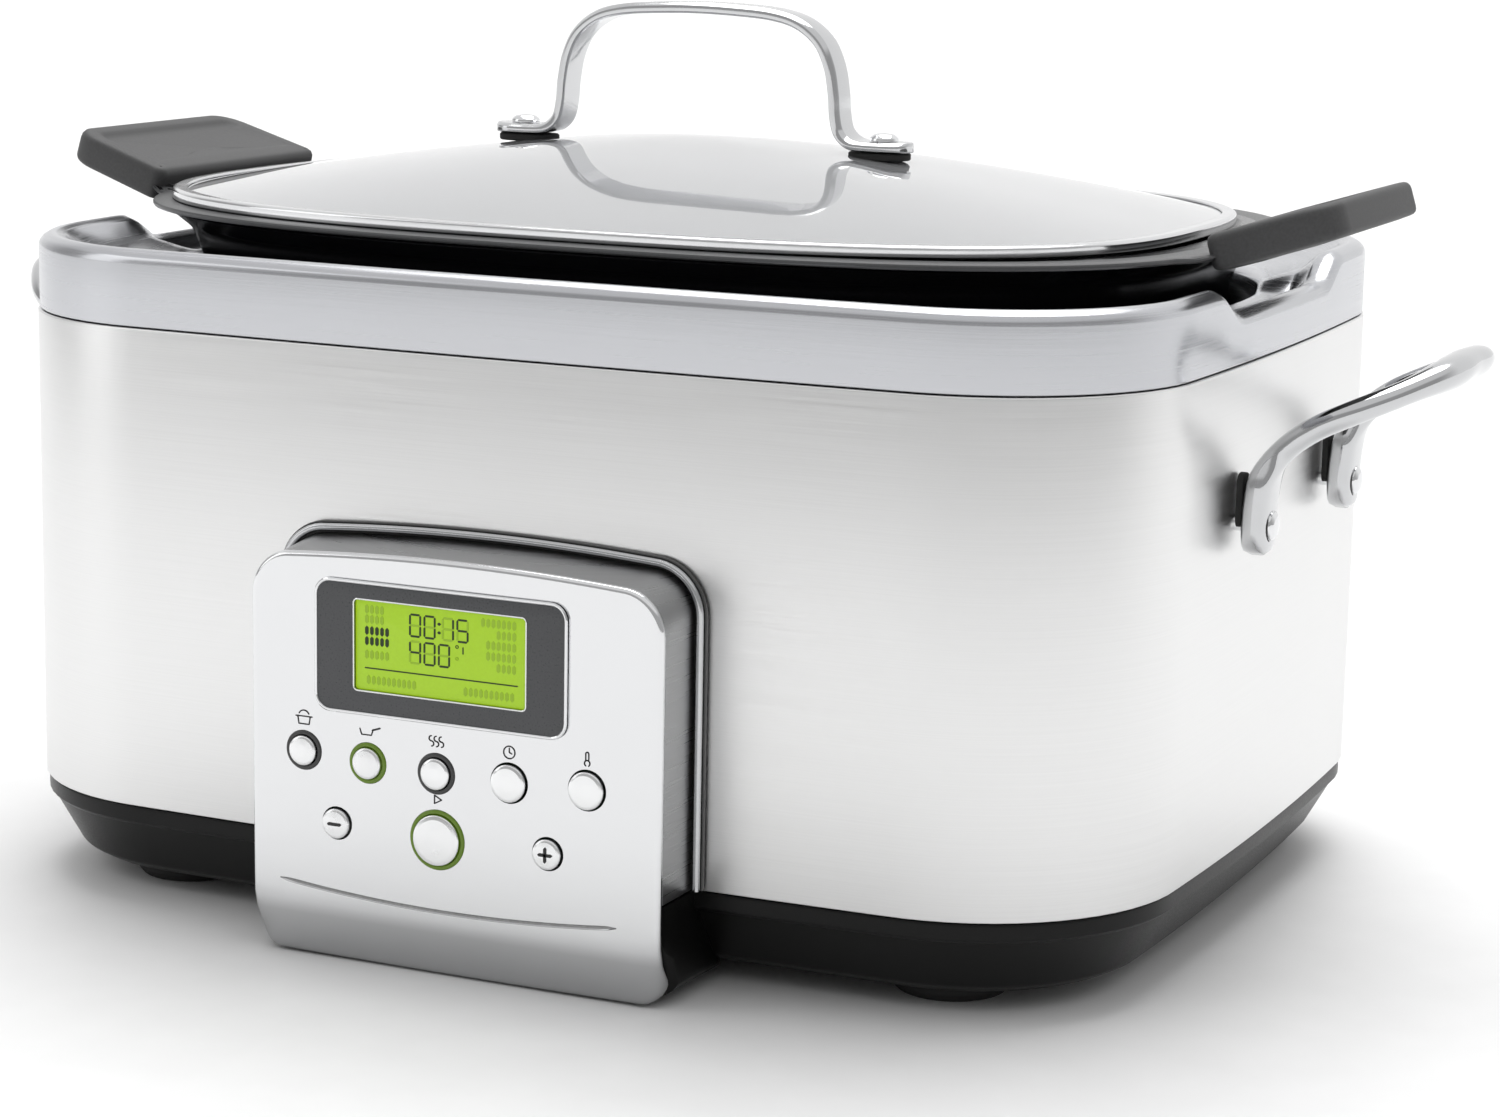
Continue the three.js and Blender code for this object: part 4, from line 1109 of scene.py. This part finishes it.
def make_pot():
    bottom, wall, top = POT_LO[2], 14.0, POT_TOP
    outer = fillet([(40, bottom), (29, bottom), (27.4, bottom + 8), (wall, top - 19),
                    (wall - 4, top - 8), (3.6, top - 2.4)], [0, 6, 8, 8, 8, 2], closed=False)
    rim = [flange_loop(*edge) for edge in (
        (3, -FLANGE_T, 0), (1, -1.75, 8), (0.3, -1.6, 12), (0, -1.2, 13), (0, -0.6, 13),
        (0.3, -0.2, 12), (1, 0, 8), (3, 0.05, 0))]
    inner = fillet([(8, top + 0.05), (11, top), (wall + 1.5, top - 5), (wall + 2.5, top - 16),
                    (30, bottom + 13), (34, bottom + 3.2), (70, bottom + 3), (125, bottom + 3)],
                   [0, 1, 3, 6, 14, 10, 5, 0], closed=False)
    mesh_piece("pot", loft(oval_stack(outer) + rim + oval_stack(inner)), "nonstick",
               ["cooking_pot"], "pot")


def make_flange():
    """The flange and its two lugs, which have a greyer coating than the bowl."""
    skin = [flange_loop(*edge) for edge in (
        (9.5, 0.03, 0), (7, 0.12, 0), (3, 0.14, 0), (1, 0.1, 8.2), (0.2, -0.15, 12.3),
        (-0.1, -0.6, 13.2), (-0.1, -1.2, 13.2), (0.2, -1.7, 12.3), (1, -1.95, 8.2),
        (3.5, -2.0, 0), (3.5, -1.3, 0), (9.5, -0.5, 0))]
    mesh_piece("flange", loft(skin, ring=True), "flange", body="pot")


def make_grip(sign):
    """A soft sleeve over each lug, with a shallow dish in its top for the thumb."""
    side = "right" if sign > 0 else "left"
    length, over, under = 39.8, 5.2, -6.2
    corners = [(-2, -51), (length, -48), (length, 48), (-2, 51)]
    outline = fillet(corners, [4, 12, 12, 4], steps=10)
    middle = np.array([length * 0.4, 0])

    def edge(inset, height, dish=0.0):
        return raised(inset_outline(outline, inset), height, dish)

    def core(share, height, dish=0.0):
        return raised(middle + (inset_outline(outline, 11) - middle) * share, height, dish)

    def raised(loop, height, dish):
        drop = dish * smoothstep(loop[:, 0], 4, 15)
        taper = smoothstep(loop[:, 0], 0, length) * (0.4 if height > 0 else 0.8)
        return np.column_stack([loop, height - drop + taper])

    loops = [core(0.2, under - 0.8), core(0.8, under - 0.7)]
    for inset, rise in ((7, -0.4), (2.4, 0), (1.2, 0.3), (0.4, 0.9), (0.1, 1.6), (0, 2.4)):
        loops.append(edge(inset, under + rise))
    for inset, drop in ((0, 2.8), (0.2, 1.6), (0.9, 0.6), (2, 0.1), (3.2, 0), (5.6, 0)):
        loops.append(edge(inset, over - drop))
    for inset, dish in ((6.6, 0.25), (7.6, 0.8), (8.8, 1.3), (10, 1.5)):
        loops.append(edge(inset, over, dish))
    loops += [core(0.94, over, 1.55), core(0.6, over, 1.6), core(0.15, over, 1.6)]
    place = (facing(sign) @ Matrix.Translation((189.5, 0, 221.6))
             @ Matrix.Rotation(-GRIP_TILT, 4, "Y"))
    mesh_piece(f"grip_{side}", moved(loft(loops), place), "silicone", [f"pot_grip_{side}"], "pot")


# --- lid
LID_HALF = (RIM_HI[:2] - RIM_LO[:2]) / 2


def dome(share):
    """The glass's height where an oval takes this share of the lid's outline."""
    edge, crown = RIM_HI[2] - 0.8, GLASS_TOP + 0.7
    return edge + (crown - edge) * (1 - share ** 1.6)


def make_rim():
    low, high = RIM_LO[2], RIM_HI[2]
    profile = fillet([(0, low), (0, high - 0.4), (1.3, high + 0.1), (4.6, high), (4.6, high - 0.7),
                      (2.2, high - 0.9), (2.2, low + 0.4), (5, low + 0.4), (5, low)],
                     [0.5, 0.9, 1.2, 0.3, 0.1, 0, 0, 0.1, 0.2])
    hoop = loft(oval_stack(profile, LID_HALF, LID_X), ring=True)
    mesh_piece("rim", hoop, "rim", ["lid_rim"], "lid")


def make_lid_glass():
    thickness, high = 2.0, RIM_HI[2]
    shares = np.linspace(1, 0.02, 34)

    def level(share, drop):
        return lift(oval_loop((LID_HALF - 5.0) * share) + (LID_X, 0), dome(share) - drop)

    over = [level(share, 0) for share in shares]
    under = [level(share, thickness) for share in shares[::-1]]
    edge = oval_stack([(0.8, high - 1.1 - thickness), (0, high - 2), (0.8, high - 1.1)],
                      LID_HALF - 2.5, LID_X)
    mesh_piece("glass", loft(under + edge + over), "glass", ["lid_glass"], "lid")


STRAP_THICK = 3.9
STRAP_FOOT_Z = box_mm("lid_handle")[0][2] + STRAP_THICK / 2


def strap_path():
    """The middle line of the lid's handle, from one foot to the other."""
    high = box_mm("lid_handle")[1]
    tip, crown, foot = high[0] - LID_X, high[2] - STRAP_THICK / 2, STRAP_FOOT_Z
    half = [(tip, foot), (tip - 6, foot), (tip - 14.6, foot), (tip - 20.4, foot + 0.6),
            (tip - 24.4, foot + 4.0), (tip - 25.9, foot + 9.5), (tip - 26.6, foot + 17),
            (tip - 28.3, foot + 25.5), (tip - 32.2, foot + 33.2), (tip - 39.5, foot + 38.8),
            (tip - 49, foot + 41.4), (tip - 62, crown - 0.4)]
    line = [(-x, z) for x, z in half] + [(0, crown)] + half[::-1]
    return catmull([(LID_X + x, CENTRE_Y, z) for x, z in line], 170)


def strap_section(distance):
    """Bevelled long edges and a slightly crowned outer face."""
    foot = 1 - smoothstep(distance, 17, 27)
    across = 6.6 + 1.2 * foot
    across *= max(0.1, round_tip(distance, across))
    deep = STRAP_THICK / 2 * (0.92 - 0.12 * foot)
    right = [(across * 0.84, -deep), (across, -deep * 0.7), (across, deep * 0.45),
             (across * 0.72, deep * 1.05)]
    left = [(-x, z) for x, z in reversed(right)]
    return fillet([left[-2], left[-1], *right, *left[:2]], [0.35] * 8, steps=2)


def make_strap():
    strap = sweep_from_ends(strap_path(), (0, 0, 1), strap_section)
    mesh_piece("strap", strap, "strap", ["lid_handle"], "lid", sharp=40)


def make_lid_rivet(side):
    node = f"lid_handle_rivet_{side}"
    x, low = middle_and_half(node)[0][0], box_mm(node)[0][2]
    top = STRAP_FOOT_Z + STRAP_THICK / 2 - 0.1
    rivet = turned([(0, low), (5, low), (5, low + 2), (2.6, low + 2), (2.6, top), (4.9, top),
                    (4.8, top + 1.0), (3.4, top + 2.2), (0, top + 2.7)],
                   [0, 1, 0.5, 0, 0, 0.3, 0.8, 2, 0], Matrix.Translation((x, CENTRE_Y, 0)), count=40)
    mesh_piece(f"lid_rivet_{side}", rivet, "chrome", [node], "lid")
    make_lid_pad(side, x)


def make_lid_pad(side, x):
    """The rubber pad between the strap's foot and the glass."""
    node = f"lid_handle_gasket_{side}"
    low, top = box_mm(node)[0][2], STRAP_FOOT_Z - STRAP_THICK / 2
    outline = rounded_rect(10.5, 6.9, 6.6, (x + (1.5 if x < LID_X else -1.5), CENTRE_Y))
    levels = ((0.4, low - 1), (0, low - 0.6), (0, top - 0.4), (0.4, top))
    loops = [flat(inset_outline(outline, inset), height) for inset, height in levels]
    mesh_piece(f"lid_pad_{side}", loft(loops), "rubber", [node], "lid")


# --- inside pieces that stay
def dress_inner_nodes():
    looks = {"heating_element": "aluminium", "heat_shield": "aluminium", "sensor_spring": "chrome",
             "sensor_bracket": "aluminium", "control_board": "board", "power_board": "board"}
    for node, look in looks.items():
        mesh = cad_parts[node].data
        mesh.materials.clear()
        mesh.materials.append(LOOK[look])


# --- floor, light and camera
def make_stage():
    size = 30.0
    mesh = bpy.data.meshes.new("floor")
    mesh.from_pydata([(-size, -size, 0), (size, -size, 0), (size, size, 0), (-size, size, 0)], [],
                     [(0, 1, 2, 3)])
    floor = add_object("floor", mesh)
    paint = new_material("floor_paint", grey(0.86), 0.55)
    tint(paint, noise(paint, (40, 40, 40), 2.0), grey(0.85), grey(0.87))
    mesh.materials.append(paint)


def add_lamp(name, kind, energy, turn):
    light = bpy.data.lights.new(name, kind)
    light.energy = energy
    lamp = add_object(name, light)
    lamp.rotation_euler = turn
    return lamp


def make_world():
    """A studio that is white above and behind the object, with a dimmer band low down at
    the sides and in front, which gives polished steel its dark edges."""
    world = bpy.data.worlds.new("studio")
    bpy.context.scene.world = world
    world.use_nodes = True
    direction = axes(world, "Generated")
    behind = map_range(world, direction, "Y", 0.1, 0.6, 0.42, 0.95)
    above = map_range(world, direction, "Z", 0.32, 0.62, 0.0, 0.8)
    brightest = add_node(world, "ShaderNodeMath")
    brightest.operation = "MAXIMUM"
    link(world, behind, brightest.inputs[0], "Result")
    link(world, above, brightest.inputs[1], "Result")
    background = world.node_tree.nodes["Background"]
    link(world, brightest, background.inputs["Strength"], "Value")
    background.inputs["Color"].default_value = (1, 1, 1, 1)


def make_lights():
    tilt = (math.radians(-22), math.radians(-6), 0)
    add_lamp("overhead", "SUN", 1.85, tilt).data.angle = math.radians(45)
    place, aim = Vector((-1.6, -1.1, 0.9)), Vector((0, 0, 0.12))
    turn = (aim - place).to_track_quat("-Z", "Y").to_euler()
    softbox = add_lamp("left_softbox", "AREA", 4, turn)
    softbox.location = place
    softbox.data.shape = "RECTANGLE"
    softbox.data.size, softbox.data.size_y = 0.9, 1.4


def make_camera():
    """The photograph's viewpoint, given from the middle of the body on the table."""
    data = bpy.data.cameras.new("camera")
    data.sensor_width = 36.0
    data.lens = 87.93
    data.clip_end = 30
    camera = add_object("camera", data)
    forward = Vector((-0.40781, 0.89272, -0.19170)).normalized()
    right = forward.cross(Vector((0, 0, 1))).normalized()
    up = right.cross(forward)
    roll = math.radians(1.07)
    tilted_right = math.cos(roll) * right + math.sin(roll) * up
    tilted_up = math.cos(roll) * up - math.sin(roll) * right
    turn = Matrix((tilted_right, tilted_up, -forward)).transposed().to_4x4()
    place = Vector((522.76, -1111.64 + CENTRE_Y, 340.16)) * MM
    camera.matrix_world = Matrix.Translation(place) @ turn
    bpy.context.scene.camera = camera


make_base()
make_base_block()
make_bottom_cover()
for end in ("front", "rear"):
    for side in ("left", "right"):
        make_foot(end, side)
make_shell()
make_collar()
make_chamber()
make_hot_plate()
make_sensor_head()
make_fascia()
make_crease_line()
make_housing()
make_trim()
make_bezel()
make_screen()
for name in BUTTONS:
    make_button(name)
for name in ("minus", "plus"):
    make_button_mark(name)
make_panel_marks()
for sign in (1, -1):
    make_side_handle(sign)
make_cord_gland()
make_pot()
make_flange()
for sign in (1, -1):
    make_grip(sign)
make_rim()
make_lid_glass()
make_strap()
for side in ("left", "right"):
    make_lid_rivet(side)
dress_inner_nodes()
make_stage()
make_world()
make_lights()
make_camera()
bpy.context.scene.view_settings.view_transform = "Standard"
